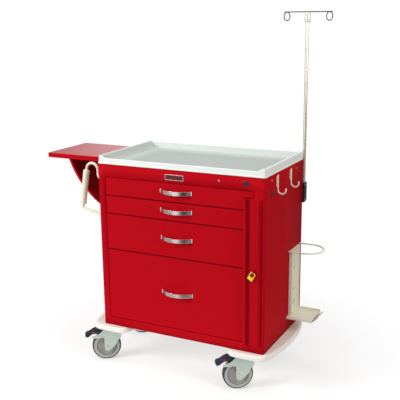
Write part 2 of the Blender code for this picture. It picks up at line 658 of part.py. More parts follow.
# ---------------------------------------------------------------- fittings on the side walls
def build_push_handle():
    start_x = LEFT - GAP
    loop_radius = 0.028
    loop_centre = (-0.056, 0.843)
    lean = 9.6
    path = [(start_x, 0.812)]
    path += arc((-0.0155, 0.8245), 0.0125, 270, 180, 4)
    path += arc(loop_centre, loop_radius, 0, 180 - lean, 12)
    direction = Vector((-math.sin(math.radians(lean)), -math.cos(math.radians(lean))))
    top = Vector(path[-1])
    length = 0.1665
    bottom = top + direction * length
    bend = 0.010
    bend_centre = bottom + Vector((math.cos(math.radians(lean)), -math.sin(math.radians(lean)))) * bend
    path += arc(bend_centre, bend, 180 - lean, 274, 5)
    path += [(-0.012, 0.6550), (start_x, 0.6550)]
    tube("push_handle_tube", [(u, HANDLE_Y, v) for u, v in path], HANDLE_TUBE, IVORY)

    first = top + direction * 0.008
    last = top + direction * 0.158
    middle = (first + last) / 2
    half = (last - first).length / 2
    bore = HANDLE_TUBE + 0.0007
    profile = [(HANDLE_GRIP - 0.002, half), (HANDLE_GRIP, half - 0.003), (HANDLE_GRIP, -half + 0.003),
               (HANDLE_GRIP - 0.002, -half), (bore, -half), (bore, half)]
    turned("push_handle_grip", profile, (-direction.x, 0.0, -direction.y), (middle.x, HANDLE_Y, middle.y),
           IVORY, steps=16, closed=True)


def build_hooks():
    for name, y, top in HOOKS:
        x = WIDTH + HOOK_ROD + 2 * GAP
        bend = (x + HOOK_BEND, top - HOOK_DROP)
        path = [(x, top)] + arc(bend, HOOK_BEND, 180, 360, 8)
        path += [(x + 2 * HOOK_BEND, top - HOOK_DROP + HOOK_TIP_RISE)]
        tube(f"utility_hook_{name}", [(u, y, v) for u, v in path], HOOK_ROD, IVORY)


def build_oxygen_bracket():
    wall = WIDTH + GAP
    web = wall + BRACKET_STAND_OFF
    sheet = BRACKET_SHEET
    channel = [(wall, BRACKET_FRONT), (web, BRACKET_FRONT), (web, BRACKET_BACK), (wall, BRACKET_BACK),
               (wall, BRACKET_BACK - sheet), (web - sheet, BRACKET_BACK - sheet),
               (web - sheet, BRACKET_FRONT + sheet), (wall, BRACKET_FRONT + sheet)]
    upright = as_mesh(outline("oxygen_bracket", [channel], BRACKET_BOTTOM, BRACKET_TOP - sheet, "XY", STONE))
    plate = [(wall, BRACKET_FRONT - 2 * GAP), (WIDTH + BRACKET_PLATE_REACH, BRACKET_FRONT - 2 * GAP),
             (WIDTH + BRACKET_PLATE_REACH, BRACKET_FRONT + 0.006), (web + sheet, BRACKET_BACK),
             (wall, BRACKET_BACK)]
    top = as_mesh(outline("oxygen_top_plate", [plate], BRACKET_TOP - sheet - GAP, BRACKET_TOP, "XY", None))
    boolean(upright, top, "UNION")

    elbow = OXYGEN_TRAY_RIGHT - 0.019
    floor_top = OXYGEN_TRAY_FLOOR + OXYGEN_TRAY_SHEET
    floor = box("oxygen_tray_floor", (wall, OXYGEN_TRAY_FRONT, OXYGEN_TRAY_FLOOR),
                (elbow, OXYGEN_TRAY_BACK, floor_top), None)
    boolean(upright, floor, "UNION")
    section = [(elbow - 0.004, OXYGEN_TRAY_FLOOR), (elbow, OXYGEN_TRAY_FLOOR), (OXYGEN_TRAY_RIGHT, 0.2620),
               (OXYGEN_TRAY_RIGHT - 0.0020, 0.2637), (elbow - 0.0012, floor_top), (elbow - 0.004, floor_top)]
    lip = as_mesh(outline("oxygen_side_lip", [section], OXYGEN_TRAY_FRONT, OXYGEN_TRAY_LIP_BACK, "XZ", None))
    boolean(upright, lip, "UNION")
    apron = box("oxygen_front_apron", (wall, OXYGEN_TRAY_FRONT + 0.0002, 0.2360),
                (elbow - 0.006, OXYGEN_TRAY_FRONT + sheet, OXYGEN_TRAY_FLOOR + 0.0005), None)
    boolean(upright, apron, "UNION")
    rear_lip = box("oxygen_rear_lip", (wall, OXYGEN_TRAY_BACK - sheet, OXYGEN_TRAY_FLOOR + 0.0005),
                   (elbow - 0.006, OXYGEN_TRAY_BACK - 0.0002, 0.2560), None)
    boolean(upright, rear_lip, "UNION")

    start = wall + 2 * GAP
    radius = (RING_BACK - RING_FRONT) / 2
    middle = (RING_FRONT + RING_BACK) / 2
    path = [(start, RING_FRONT)] + arc((RING_CENTRE_X, middle), radius, -90, 90, 14) + [(start, RING_BACK)]
    tube("oxygen_ring", [(u, v, RING_Z) for u, v in path], RING_ROD, STONE)


def build_iv_pole():
    block = box("iv_clamp_block", (CLAMP_LEFT, DEPTH + GAP, CLAMP_BOTTOM),
                (CLAMP_RIGHT, CLAMP_BACK, CLAMP_TOP), BLACK)
    bore = turned("iv_clamp_bore", [(0.0, CLAMP_TOP + GAP), (CLAMP_BORE, CLAMP_TOP + GAP),
                                    (CLAMP_BORE, CLAMP_BOTTOM - GAP), (0.0, CLAMP_BOTTOM - GAP)],
                  (0.0, 0.0, 1.0), POLE, None, steps=16)
    boolean(block, bore, "DIFFERENCE")

    slide = empty("iv_pole_slide", POLE, ORIGIN)
    pole_top = COLLAR_BOTTOM - GAP
    turned("iv_pole", [(0.0, pole_top), (POLE_RADIUS, pole_top),
                       (POLE_RADIUS, POLE_BOTTOM), (0.0, POLE_BOTTOM)],
           (0.0, 0.0, 1.0), POLE, CHROME, slide, steps=16)
    turned("iv_pole_collar", [(0.0, COLLAR_TOP), (0.0095, COLLAR_TOP), (0.0110, COLLAR_TOP - 0.003),
                              (0.0110, COLLAR_BOTTOM + 0.002), (0.0100, COLLAR_BOTTOM), (0.0, COLLAR_BOTTOM)],
           (0.0, 0.0, 1.0), POLE, CHROME, slide, steps=20)

    bar = tube("iv_hook_bar", [(HOOK_BAR_LEFT, POLE.y, HOOK_BAR_Z), (HOOK_BAR_RIGHT, POLE.y, HOOK_BAR_Z)],
               IV_WIRE, CHROME, slide)
    bar = as_mesh(bar)
    for side, centre_x, start, sweep in IV_EYES:
        angles = [math.radians(start + sweep * i / 14) for i in range(15)]
        middle_z = HOOK_BAR_Z - IV_EYE_DROP
        loop = [(centre_x + IV_EYE_HALF_X * math.cos(a), POLE.y, middle_z + IV_EYE_HALF_Z * math.sin(a))
                for a in angles]
        loop[0] = (loop[0][0], POLE.y, HOOK_BAR_Z - 0.0008)
        eye = as_mesh(tube(f"iv_eye_{side}", loop, IV_WIRE * 0.97, None, slide))
        boolean(bar, eye, "UNION")

    knob_at = (CLAMP_LEFT, POLE.y, (CLAMP_BOTTOM + CLAMP_TOP) / 2)
    knob_axis = empty("clamp_knob_axis", knob_at, ORIGIN)
    profile = [(0.0, KNOB_LENGTH), (KNOB_RADIUS - 0.002, KNOB_LENGTH), (KNOB_RADIUS, KNOB_LENGTH - 0.003),
               (KNOB_RADIUS, KNOB_LENGTH - 0.013), (KNOB_RADIUS - 0.0035, KNOB_LENGTH - 0.016),
               (KNOB_STEM, KNOB_LENGTH - 0.018), (KNOB_STEM, GAP), (0.0, GAP)]
    turned("clamp_knob", profile, (-1.0, 0.0, 0.0), knob_at, BLACK, knob_axis, steps=18)


build_cabinet()
build_racks()
build_tray()
build_drawers()
build_locking_bar()
build_casters()
build_shelf()
build_push_handle()
build_hooks()
build_oxygen_bracket()
build_iv_pole()
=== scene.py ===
"""Crash cart: the finished look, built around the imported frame.

Lengths are metres.  Every piece is worked out in the cart's own frame: x runs right from near the
cabinet's left wall, y runs back from the drawer face and z runs up from the floor.
"""

import json
import math

import bmesh
import bpy
import numpy as np
from mathutils import Matrix, Vector


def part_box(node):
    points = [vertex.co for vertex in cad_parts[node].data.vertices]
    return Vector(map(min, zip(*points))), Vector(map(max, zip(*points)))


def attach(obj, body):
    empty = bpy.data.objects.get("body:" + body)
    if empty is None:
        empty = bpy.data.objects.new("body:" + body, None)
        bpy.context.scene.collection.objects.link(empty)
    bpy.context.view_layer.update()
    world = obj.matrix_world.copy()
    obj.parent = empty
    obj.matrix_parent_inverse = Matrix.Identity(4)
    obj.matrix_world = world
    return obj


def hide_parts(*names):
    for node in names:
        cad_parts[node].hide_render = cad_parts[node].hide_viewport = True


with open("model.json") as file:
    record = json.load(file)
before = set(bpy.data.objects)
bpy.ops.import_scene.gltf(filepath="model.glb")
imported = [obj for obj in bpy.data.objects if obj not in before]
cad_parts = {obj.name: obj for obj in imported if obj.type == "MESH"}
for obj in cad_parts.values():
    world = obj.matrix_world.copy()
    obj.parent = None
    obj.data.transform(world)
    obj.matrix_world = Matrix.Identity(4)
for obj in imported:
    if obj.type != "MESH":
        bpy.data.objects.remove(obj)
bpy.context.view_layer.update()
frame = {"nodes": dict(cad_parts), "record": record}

# driving sizes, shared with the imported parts
LEFT, RIGHT, DEPTH = -0.0060, 0.7265, 0.4186
CABINET_BOTTOM, CABINET_TOP = 0.1803, 0.879
TRAY_BOTTOM, TRAY_FLOOR, TRAY_TOP = 0.8793, 0.8843, 0.912
OPENING_LEFT, OPENING_RIGHT, OPENING_RIGHT_LOW = 0.0253, 0.6828, 0.6450
OPENING_BOTTOM, OPENING_TOP, OPENING_STEP = 0.217, 0.8266, 0.7985
GAP_HALF = 0.0018
DRAWERS = ((0.7504, 0.8266), (0.6742, 0.7504), (0.5218, 0.6742), (0.217, 0.5218))
PULL_LEFT, PULL_RIGHT, PULL_LIFT = 0.283, 0.424, 0.0040
BAR_BOTTOM, BAR_TOP = 0.212, 0.797
POLE = (0.7245, 0.4386)
CASTERS = {"front_left": (0.0080, 0.0565), "front_right": (0.6350, 0.0565),
           "rear_left": (0.0080, 0.3621), "rear_right": (0.6350, 0.3621)}
CASTER_TURN = math.radians(35)
PLUG_Y, PLUG_Z = 0.0689, 0.8091
SIDE_SCREWS = ((0.0671, 0.8589), (0.3384, 0.8560))

UP, TO_RIGHT, TO_LEFT = (0.0, 0.0, 1.0), (1.0, 0.0, 0.0), (-1.0, 0.0, 0.0)
TO_BACK, TO_FRONT = (0.0, 1.0, 0.0), (0.0, -1.0, 0.0)

# the cart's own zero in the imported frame, found from the front frame's corner
FRONT_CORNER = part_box("front_frame")[0]
ORIGIN = np.array([FRONT_CORNER[0] - LEFT, FRONT_CORNER[1], 0.0])


# ---------------------------------------------------------------- camera, light and floor
def set_camera():
    """Eye height, to the right of the cart and turned towards it, with a short telephoto lens."""
    lens = bpy.data.cameras.new("camera")
    lens.sensor_width = 36.0
    lens.lens = 66.15
    lens.shift_x = -0.0025
    lens.shift_y = 0.0065
    lens.clip_end = 200.0
    camera = bpy.data.objects.new("camera", lens)
    bpy.context.scene.collection.objects.link(camera)
    turn, tilt, roll = 0.467, 0.2448, -0.0106
    forward = np.array([-math.sin(turn) * math.cos(tilt), math.cos(turn) * math.cos(tilt), -math.sin(tilt)])
    level = np.array([math.cos(turn), math.sin(turn), 0.0])
    upright = np.cross(level, forward)
    right = math.cos(roll) * level + math.sin(roll) * upright
    up = -math.sin(roll) * level + math.cos(roll) * upright
    axes = np.stack([right, up, -forward], axis=1)
    at = ORIGIN + (1.6938, -2.4417, 1.4453)
    camera.matrix_world = Matrix.Translation(at.tolist()) @ Matrix(axes.tolist()).to_4x4()
    bpy.context.scene.camera = camera


def srgb(code):
    """Linear RGBA of an sRGB hex colour."""
    channels = [int(code[i:i + 2], 16) / 255 for i in (0, 2, 4)]
    linear = [c / 12.92 if c <= 0.04045 else ((c + 0.055) / 1.055) ** 2.4 for c in channels]
    return (*linear, 1.0)


def add(tree, kind, inputs=None, **settings):
    """Add one node; inputs maps a socket's name or number to a value or to the socket that feeds it."""
    made = tree.nodes.new(kind)
    for key, value in settings.items():
        setattr(made, key, value)
    for key, value in (inputs or {}).items():
        if isinstance(value, bpy.types.NodeSocket):
            tree.links.new(value, made.inputs[key])
        else:
            made.inputs[key].default_value = value
    return made


def set_world():
    """White to the eye; to everything else a dim studio with a bright window in front and two dark flags."""
    world = bpy.data.worlds.new("studio")
    bpy.context.scene.world = world
    world.use_nodes = True
    tree = world.node_tree
    tree.nodes.clear()
    toward = add(tree, "ShaderNodeTexCoord").outputs["Generated"]

    def lobe(direction, start, full, amount):
        """Smooth step of the angle to a direction, from 0 at start to amount at full (cosines)."""
        near = add(tree, "ShaderNodeVectorMath", {0: toward, 1: direction}, operation="DOT_PRODUCT")
        step = add(tree, "ShaderNodeMapRange",
                   {"Value": near.outputs["Value"], "From Min": start, "From Max": full, "To Max": amount},
                   interpolation_type="SMOOTHSTEP")
        return step.outputs["Result"]

    def worked(kind, a, c):
        """The result of one sum, difference or product."""
        return add(tree, "ShaderNodeMath", {0: a, 1: c}, operation=kind).outputs[0]

    window = lobe((-0.20, -0.97, 0.05), 0.84, 0.97, 1.05)
    overhead = lobe((0.0, 0.0, 1.0), 0.10, 0.95, 0.32)
    left = lobe((-0.98, -0.18, 0.05), 0.30, 0.95, 0.22)
    backdrop = lobe((-0.36, 0.89, 0.27), 0.84, 0.97, 0.85)
    level = 0.27
    for light in (window, overhead, left, backdrop):
        level = worked("ADD", level, light)
    flag_beside_eye = lobe((0.54, -0.84, 0.0), 0.90, 0.975, 0.93)
    flag_behind_left = lobe((-0.84, 0.54, 0.0), 0.86, 0.97, 0.93)
    for flag in (flag_beside_eye, flag_behind_left):
        level = worked("MULTIPLY", level, worked("SUBTRACT", 1.0, flag))
    warm = lobe((0.90, 0.42, 0.0), 0.80, 0.97, 1.0)
    tint = add(tree, "ShaderNodeMixRGB", {"Fac": warm, "Color1": (1.0, 1.0, 1.0, 1.0),
                                          "Color2": (1.5, 0.85, 0.50, 1.0)})
    soft = add(tree, "ShaderNodeBackground", {"Color": tint.outputs["Color"], "Strength": level})
    plain = add(tree, "ShaderNodeBackground", {"Color": (1.0, 1.0, 1.0, 1.0), "Strength": 1.02})
    eye = add(tree, "ShaderNodeLightPath").outputs["Is Camera Ray"]
    both = add(tree, "ShaderNodeMixShader", {0: eye, 1: soft.outputs[0], 2: plain.outputs[0]})
    add(tree, "ShaderNodeOutputWorld", {"Surface": both.outputs[0]})


def softbox(name, at, toward, width, height, power):
    """A rectangular studio lamp aimed at a point."""
    lamp = bpy.data.lights.new(name, "AREA")
    lamp.shape = "RECTANGLE"
    lamp.size = width
    lamp.size_y = height
    lamp.energy = power
    obj = bpy.data.objects.new(name, lamp)
    bpy.context.scene.collection.objects.link(obj)
    obj.location = at
    obj.rotation_euler = (Vector(toward) - Vector(at)).to_track_quat("-Z", "Y").to_euler()


def set_floor():
    """A pale floor that fades into the white all round."""
    mat = bpy.data.materials.new("studio_floor")
    mat.use_nodes = True
    tree = mat.node_tree
    tree.nodes.clear()
    place = add(tree, "ShaderNodeTexCoord").outputs["Object"]
    away = add(tree, "ShaderNodeVectorMath", {0: place}, operation="LENGTH").outputs["Value"]
    fade = add(tree, "ShaderNodeMapRange", {"Value": away, "From Min": 0.50, "From Max": 1.25},
               interpolation_type="SMOOTHSTEP")
    paper = add(tree, "ShaderNodeBsdfDiffuse", {"Color": (0.55, 0.55, 0.55, 1.0)})
    glow = add(tree, "ShaderNodeEmission", {"Color": (1.0, 1.0, 1.0, 1.0), "Strength": 0.44})
    matt = add(tree, "ShaderNodeAddShader", {0: paper.outputs[0], 1: glow.outputs[0]})
    clear = add(tree, "ShaderNodeBsdfTransparent")
    shown = add(tree, "ShaderNodeMixShader",
                {0: fade.outputs["Result"], 1: matt.outputs[0], 2: clear.outputs[0]})
    add(tree, "ShaderNodeOutputMaterial", {"Surface": shown.outputs[0]})
    reach = 4.0
    mesh = bpy.data.meshes.new("floor")
    mesh.from_pydata([(-reach, -reach, 0.0), (reach, -reach, 0.0), (reach, reach, 0.0), (-reach, reach, 0.0)],
                     [], [(0, 1, 2, 3)])
    mesh.materials.append(mat)
    floor = bpy.data.objects.new("floor", mesh)
    bpy.context.scene.collection.objects.link(floor)


set_camera()
set_world()
set_floor()
softbox("key_lamp", (-2.3, -2.6, 2.1), (0.0, 0.0, 0.5), 1.1, 1.1, 88.0)
softbox("top_lamp", (0.1, -0.2, 3.4), (0.1, 0.0, 0.0), 2.2, 1.8, 26.0)
softbox("side_lamp", (3.0, -0.9, 1.6), (0.3, 0.0, 0.4), 1.4, 1.4, 36.0)
bpy.context.scene.view_settings.view_transform = "Standard"


# ---------------------------------------------------------------- finishes
def finish(name, colour, roughness, metallic=0.0, specular=0.3, ior=1.45, mottle=0.04, mottle_mm=60.0,
           grain_mm=0.8, grain=0.02, streak=None):
    """A coating with faint clouding and a fine surface grain; sizes are real millimetres.

    mottle is the part by which the colour's value wanders, grain the height of the relief in mm, and
    streak the axis stretched to draw the grain out into brushing lines.  Grains are drawn two to four
    times coarser than the real ones, which are too fine to show.  A metal keeps the default IOR.
    """
    mat = bpy.data.materials.new(name)
    mat.use_nodes = True
    tree = mat.node_tree
    shader = tree.nodes["Principled BSDF"]
    shader.inputs["Metallic"].default_value = metallic
    shader.inputs["Specular IOR Level"].default_value = specular
    if metallic == 0.0:
        shader.inputs["IOR"].default_value = ior
    place = add(tree, "ShaderNodeTexCoord").outputs["Object"]
    cloud = add(tree, "ShaderNodeTexNoise", {"Vector": place, "Scale": 1000.0 / mottle_mm, "Detail": 3.0})
    shade = add(tree, "ShaderNodeMapRange", {"Value": cloud.outputs["Fac"], "From Min": 0.3, "From Max": 0.7,
                                            "To Min": 1.0 - mottle, "To Max": 1.0 + mottle})
    tint = add(tree, "ShaderNodeHueSaturation", {"Value": shade.outputs["Result"], "Color": srgb(colour)})
    tree.links.new(tint.outputs["Color"], shader.inputs["Base Color"])
    stretch = [1.0, 1.0, 1.0]
    if streak is not None:
        stretch[streak] = 0.02
    drawn = add(tree, "ShaderNodeVectorMath", {0: place, 1: tuple(stretch)}, operation="MULTIPLY").outputs[0]
    fine = add(tree, "ShaderNodeTexNoise", {"Vector": drawn, "Scale": 1000.0 / grain_mm, "Detail": 2.0})
    rough = add(tree, "ShaderNodeMapRange", {"Value": fine.outputs["Fac"], "From Min": 0.3, "From Max": 0.7,
                                            "To Min": roughness - 0.04, "To Max": roughness + 0.04})
    tree.links.new(rough.outputs["Result"], shader.inputs["Roughness"])
    relief = add(tree, "ShaderNodeBump", {"Height": fine.outputs["Fac"], "Strength": 0.5,
                                         "Distance": grain / 1000.0})
    tree.links.new(relief.outputs["Normal"], shader.inputs["Normal"])
    return mat


# Powder coat baked on folded sheet: a deep even red, so low in gloss that each face keeps one tone.
RED = finish("red_powder_coat", "B00B18", 0.40, specular=0.10, ior=1.12, mottle=0.02, grain_mm=1.6,
             grain=0.03)
# The same red flowed out smooth on the shelf's top: it mirrors the pale wall behind and looks pink.
GLOSS_RED = finish("red_shelf_enamel", "B00C18", 0.20, specular=0.8, mottle=0.02, grain_mm=1.6, grain=0.01)
# Painted shadow in the locking bar's groove: a darker, duller red standing for the shadow the flange casts
# there.
GROOVE_SHADOW_RED = finish("red_painted_groove_shadow", "9A0914", 0.5, specular=0.05, mottle=0.02, grain_mm=1.6, grain=0.03)
# Painted shade: a nearly black red on cut edges, behind the fronts and on rails, so the gaps between drawers
# read as dark lines.
GAP_SHADE_RED = finish("red_painted_gap_shade", "2C0408", 0.60, specular=0.05, mottle=0.02, grain_mm=1.6, grain=0.03)
# Thermoformed ABS with a leather grain: clean cool white with a soft sheen along the rounded rim.
WHITE = finish("white_abs_leather_grain", "DFE3DF", 0.48, specular=0.2, mottle=0.015, grain_mm=1.1,
               grain=0.05)
# The tray's coarser work surface, painted pale grey as shade on the sunken floor, which sets the floor off
# from the white rim.
TRAY_FLOOR_SHADE = finish("tray_floor_painted_shade", "A3AAA5", 0.42, specular=0.25, mottle=0.02, grain_mm=1.4,
                         grain=0.06)
# Rotationally moulded ABS bumper: warm off-white, matt, soft at its full round edges.
BASE = finish("moulded_bumper_abs", "E6E1D9", 0.50, specular=0.25, mottle=0.015, grain_mm=1.1, grain=0.04)
# Ivory enamel on bent rod and the handle's grip: creamy, with a thin soft highlight along each bend.
IVORY = finish("ivory_enamel", "E6E0CC", 0.38, specular=0.3, mottle=0.02, grain_mm=1.5, grain=0.02)
# Stone-coloured enamel on the cylinder bracket: greener and duller than the ivory.
STONE = finish("stone_enamel", "E2E1CC", 0.45, specular=0.3, mottle=0.03, grain_mm=1.5, grain=0.03)
# Nickel plate brushed along the pull: pinkish silver, bright in the middle and dark at the ends.
NICKEL = finish("brushed_nickel", "D6C8C4", 0.20, metallic=1.0, mottle=0.05, grain_mm=0.4, grain=0.01,
                streak=0)
# Chrome plate on drawn tube: warm bright streak up the pole between darker sides.
CHROME = finish("chrome_plate", "F2E6D2", 0.22, metallic=0.85, mottle=0.02, grain_mm=2.0, grain=0.002)
# Zinc plate with a pale green passivation: a cool half-metal sheen, faintly blotched.
ZINC = finish("passivated_zinc", "BCC9C0", 0.36, metallic=0.45, mottle=0.06, mottle_mm=9.0, grain_mm=0.7,
              grain=0.02)
# Moulded nylon of the wheel's web: plain mid grey, matt.
GREY = finish("grey_nylon", "9C9A95", 0.50, mottle=0.03, grain_mm=0.8, grain=0.02)
# Non-marking rubber of the tyre wall: pale, dusty grey without a highlight.
TREAD = finish("grey_rubber", "A3A7A2", 0.62, mottle=0.04, grain_mm=0.6, grain=0.03)
# Rolling face of the tyre, and the thin line where it meets the core: dark grey, which rings each wheel.
DARK_TREAD = finish("dark_rubber_tread", "3C4240", 0.60, mottle=0.06, grain_mm=0.6, grain=0.03)
# Glass-filled nylon of the clamp, knob, plugs and one pedal: near black with a low sheen.
BLACK = finish("black_nylon", "1A1B1E", 0.42, specular=0.4, mottle=0.05, grain_mm=0.9, grain=0.03)
# The other brake pedal's nylon: the same with a blue cast.
BLUE_BLACK = finish("dark_blue_nylon", "1C2540", 0.42, specular=0.4, mottle=0.05, grain_mm=0.9, grain=0.03)
# Bright steel wire of the hook bar: thin and dark against the white, with a fine light line.
WIRE = finish("steel_wire", "5C6064", 0.30, metallic=0.8, mottle=0.04, grain_mm=0.6, grain=0.004)
# Moulded polypropylene of the seal: saturated yellow, slightly waxy.
YELLOW = finish("yellow_polypropylene", "E3CB1E", 0.42, specular=0.35, mottle=0.03, grain_mm=1.0, grain=0.02)
# Hot-dip galvanised sheet and plated screws: grey metal with broad soft spangle.
STEEL = finish("galvanised_steel", "A4A7AA", 0.38, metallic=1.0, mottle=0.10, mottle_mm=14.0, grain_mm=1.0)
# Enamelled field of the blank nameplate: dark wine red inside the bright border.
PLATE_FIELD = finish("nameplate_field", "5A1014", 0.35, specular=0.4, mottle=0.04, grain_mm=0.8, grain=0.01)
# Painted dot on each pedal: a clear signal red.
SIGNAL = finish("signal_red_dot", "D02018", 0.40, mottle=0.02, grain_mm=0.8, grain=0.01)
# Pale moulded buttons on the clamp: off-white specks on the black.
PALE = finish("pale_plastic_dot", "E6E6E2", 0.45, mottle=0.02, grain_mm=0.8, grain=0.01)


def paint_wall_light_on_tray_floor():
    """Painted reflected light on the textured floor: it pales towards the back wall and the left wall, and up
    the coved walls.
    """
    tree = TRAY_FLOOR_SHADE.node_tree
    shader = tree.nodes["Principled BSDF"]
    plain = shader.inputs["Base Color"].links[0].from_socket
    place = add(tree, "ShaderNodeTexCoord").outputs["Object"]
    along = add(tree, "ShaderNodeSeparateXYZ", {0: place}).outputs

    def fade(axis, start, full):
        """Smooth step of one coordinate of the cart, from 0 at start to 1 at full."""
        zero = ORIGIN["XYZ".index(axis)]
        step = add(tree, "ShaderNodeMapRange",
                   {"Value": along[axis], "From Min": start + zero, "From Max": full + zero},
                   interpolation_type="SMOOTHSTEP")
        return step.outputs["Result"]

    most = fade("Y", DEPTH - 0.115, DEPTH - 0.030)
    for other in (fade("X", 0.115, 0.040), fade("Z", TRAY_FLOOR + 0.0004, TRAY_FLOOR + 0.0060)):
        most = add(tree, "ShaderNodeMath", {0: most, 1: other}, operation="MAXIMUM").outputs[0]
    # the paler colour is painted light reflected from the walls
    mixed = add(tree, "ShaderNodeMixRGB", {"Fac": most, "Color1": plain, "Color2": srgb("C2C8C3")})
    tree.links.new(mixed.outputs["Color"], shader.inputs["Base Color"])


paint_wall_light_on_tray_floor()
SLOTS = {"red_enamel": RED, "galvanised_steel": STEEL, "white_abs": WHITE, "base_abs": BASE,
         "brushed_nickel": NICKEL, "ivory_enamel": IVORY, "stone_enamel": STONE, "black_nylon": BLACK,
         "chrome_plate": CHROME, "yellow_plastic": YELLOW, "zinc_plate": ZINC, "grey_nylon": GREY,
         "grey_rubber": TREAD}
NODE_SLOT = {part["node"]: part["material_slot"] for part in frame["record"]["subparts"]}
for node_name, slot_name in NODE_SLOT.items():
    node = frame["nodes"][node_name]
    node.data.materials.clear()
    node.data.materials.append(SLOTS[slot_name])


# ---------------------------------------------------------------- shapes
def grid_faces(rows, columns, close_rows=False, close_columns=False):
    """Quads of a grid of points numbered row by row, wrapped round where asked."""
    r = np.arange(rows if close_rows else rows - 1)[:, None]
    c = np.arange(columns if close_columns else columns - 1)[None, :]
    r2, c2 = (r + 1) % rows, (c + 1) % columns
    corners = (r * columns + c, r * columns + c2, r2 * columns + c2, r2 * columns + c)
    return np.stack(np.broadcast_arrays(*corners), -1).reshape(-1, 4).tolist()


def shell(rings, closed=False):
    """A solid from rings of points of equal count: closed onto itself, or capped at both ends."""
    rings = np.asarray(rings, float)
    rows, columns = rings.shape[:2]
    faces = grid_faces(rows, columns, closed, True)
    if not closed:
        faces.append(list(range(columns))[::-1])
        faces.append(list(range((rows - 1) * columns, rows * columns)))
    return rings.reshape(-1, 3), faces


def merged(*solids):
    """Several solids as one list of points and faces."""
    points, faces, count = [], [], 0
    for some_points, some_faces in solids:
        points.append(np.asarray(some_points, float))
        faces += [[i + count for i in face] for face in some_faces]
        count += len(some_points)
    return np.concatenate(points), faces


def piece(name, solid, mat, body, nodes=(), sharp=34.0, second=None, where=None):
    """Make the object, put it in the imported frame, let it ride on its body and stand for its CAD nodes.

    A second material goes on the faces whose middle, in the cart's frame, passes the test where.
    """
    points, faces = solid
    mesh = bpy.data.meshes.new(name)
    mesh.from_pydata((np.asarray(points) + ORIGIN).tolist(), [], faces)
    work = bmesh.new()
    work.from_mesh(mesh)
    bmesh.ops.remove_doubles(work, verts=work.verts, dist=0.000005)
    bmesh.ops.recalc_face_normals(work, faces=work.faces)
    work.to_mesh(mesh)
    work.free()
    mesh.shade_smooth()
    mesh.set_sharp_from_angle(angle=math.radians(sharp))
    mesh.materials.append(mat)
    if second is not None:
        mesh.materials.append(second)
        middles = np.empty(len(mesh.polygons) * 3)
        mesh.polygons.foreach_get("center", middles)
        chosen = where(middles.reshape(-1, 3) - ORIGIN)
        mesh.polygons.foreach_set("material_index", chosen.astype(np.int32))
    obj = bpy.data.objects.new(name, mesh)
    bpy.context.scene.collection.objects.link(obj)
    even = obj.modifiers.new("even_shading", "WEIGHTED_NORMAL")
    even.keep_sharp = True
    even.weight = 100
    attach(obj, body)
    if nodes:
        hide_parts(*nodes)
    return obj


def rounded(corners, radius, steps=5):
    """Closed outline with its corners rounded: p(t) = (1-t)^2 a + 2t(1-t) c + t^2 b at each corner c."""
    corners = np.asarray(corners, float)
    radii = np.broadcast_to(radius, len(corners))
    out = []
    for i, corner in enumerate(corners):
        before, after = corners[i - 1], corners[(i + 1) % len(corners)]
        room = 0.5 * min(np.linalg.norm(before - corner), np.linalg.norm(after - corner))
        reach = min(radii[i], room)
        a = corner + (before - corner) / np.linalg.norm(before - corner) * reach
        b = corner + (after - corner) / np.linalg.norm(after - corner) * reach
        t = np.linspace(0, 1, steps + 1)[:, None]
        out.append((1 - t) ** 2 * a + 2 * t * (1 - t) * corner + t ** 2 * b)
    return np.concatenate(out)


def rounded_path(corners, radius, steps=4):
    """An open path with its inner corners rounded by quadratic curves."""
    corners = np.asarray(corners, float)
    out = [corners[:1]]
    for before, corner, after in zip(corners[:-2], corners[1:-1], corners[2:]):
        reach = min(radius, 0.45 * np.linalg.norm(before - corner), 0.45 * np.linalg.norm(after - corner))
        a = corner + (before - corner) / np.linalg.norm(before - corner) * reach
        b = corner + (after - corner) / np.linalg.norm(after - corner) * reach
        t = np.linspace(0, 1, steps + 1)[:, None]
        out.append((1 - t) ** 2 * a + 2 * t * (1 - t) * corner + t ** 2 * b)
    out.append(corners[-1:])
    return np.concatenate(out)


def rect(low, high, radius, steps=5):
    """Rounded rectangle between two corners in a plane."""
    corners = [(low[0], low[1]), (high[0], low[1]), (high[0], high[1]), (low[0], high[1])]
    return rounded(corners, radius, steps)


def inset(outline, amount):
    """The outline moved inwards along its mitres: p - amount * n / (n . n0)."""
    before = outline - np.roll(outline, 1, axis=0)
    after = np.roll(outline, -1, axis=0) - outline
    before /= np.maximum(np.linalg.norm(before, axis=1), 1e-9)[:, None]
    after /= np.maximum(np.linalg.norm(after, axis=1), 1e-9)[:, None]
    area = np.sum(outline[:, 0] * np.roll(outline[:, 1], -1) - np.roll(outline[:, 0], -1) * outline[:, 1])
    side = 1.0 if area > 0 else -1.0
    inward_a = side * np.stack([-before[:, 1], before[:, 0]], 1)
    inward_b = side * np.stack([-after[:, 1], after[:, 0]], 1)
    mitre = inward_a + inward_b
    mitre /= np.maximum(np.linalg.norm(mitre, axis=1), 1e-9)[:, None]
    reach = np.maximum(np.sum(mitre * inward_a, axis=1), 0.5)
    return outline + mitre * (amount / reach)[:, None]


def stand(flat, height, plane):
    """Points of a plane XY, XZ or YZ stood at a height along the third axis."""
    flat = np.asarray(flat, float)
    level = np.broadcast_to(height, len(flat))
    u, v = flat[:, 0], flat[:, 1]
    columns = {"XY": (u, v, level), "XZ": (u, level, v), "YZ": (level, u, v)}[plane]
    return np.stack(columns, 1)


def carried(outline, profile, plane="XY", closed=False):
    """A profile of (inset, height) pairs carried round an outline."""
    outline = np.asarray(outline, float)
    return shell([stand(inset(outline, a) if a else outline, h, plane) for a, h in profile], closed)


def plate(outline, low, high, plane="XY", edge=0.0006, steps=3):
    """An outline given a thickness, with its edges rounded over by edge."""
    angles = np.linspace(0, math.pi / 2, steps + 1)
    first = [(edge * (1 - math.sin(a)), low + edge * (1 - math.cos(a))) for a in angles]
    last = [(edge * (1 - math.cos(a)), high - edge * (1 - math.sin(a))) for a in angles]
    return carried(outline, first + last, plane)


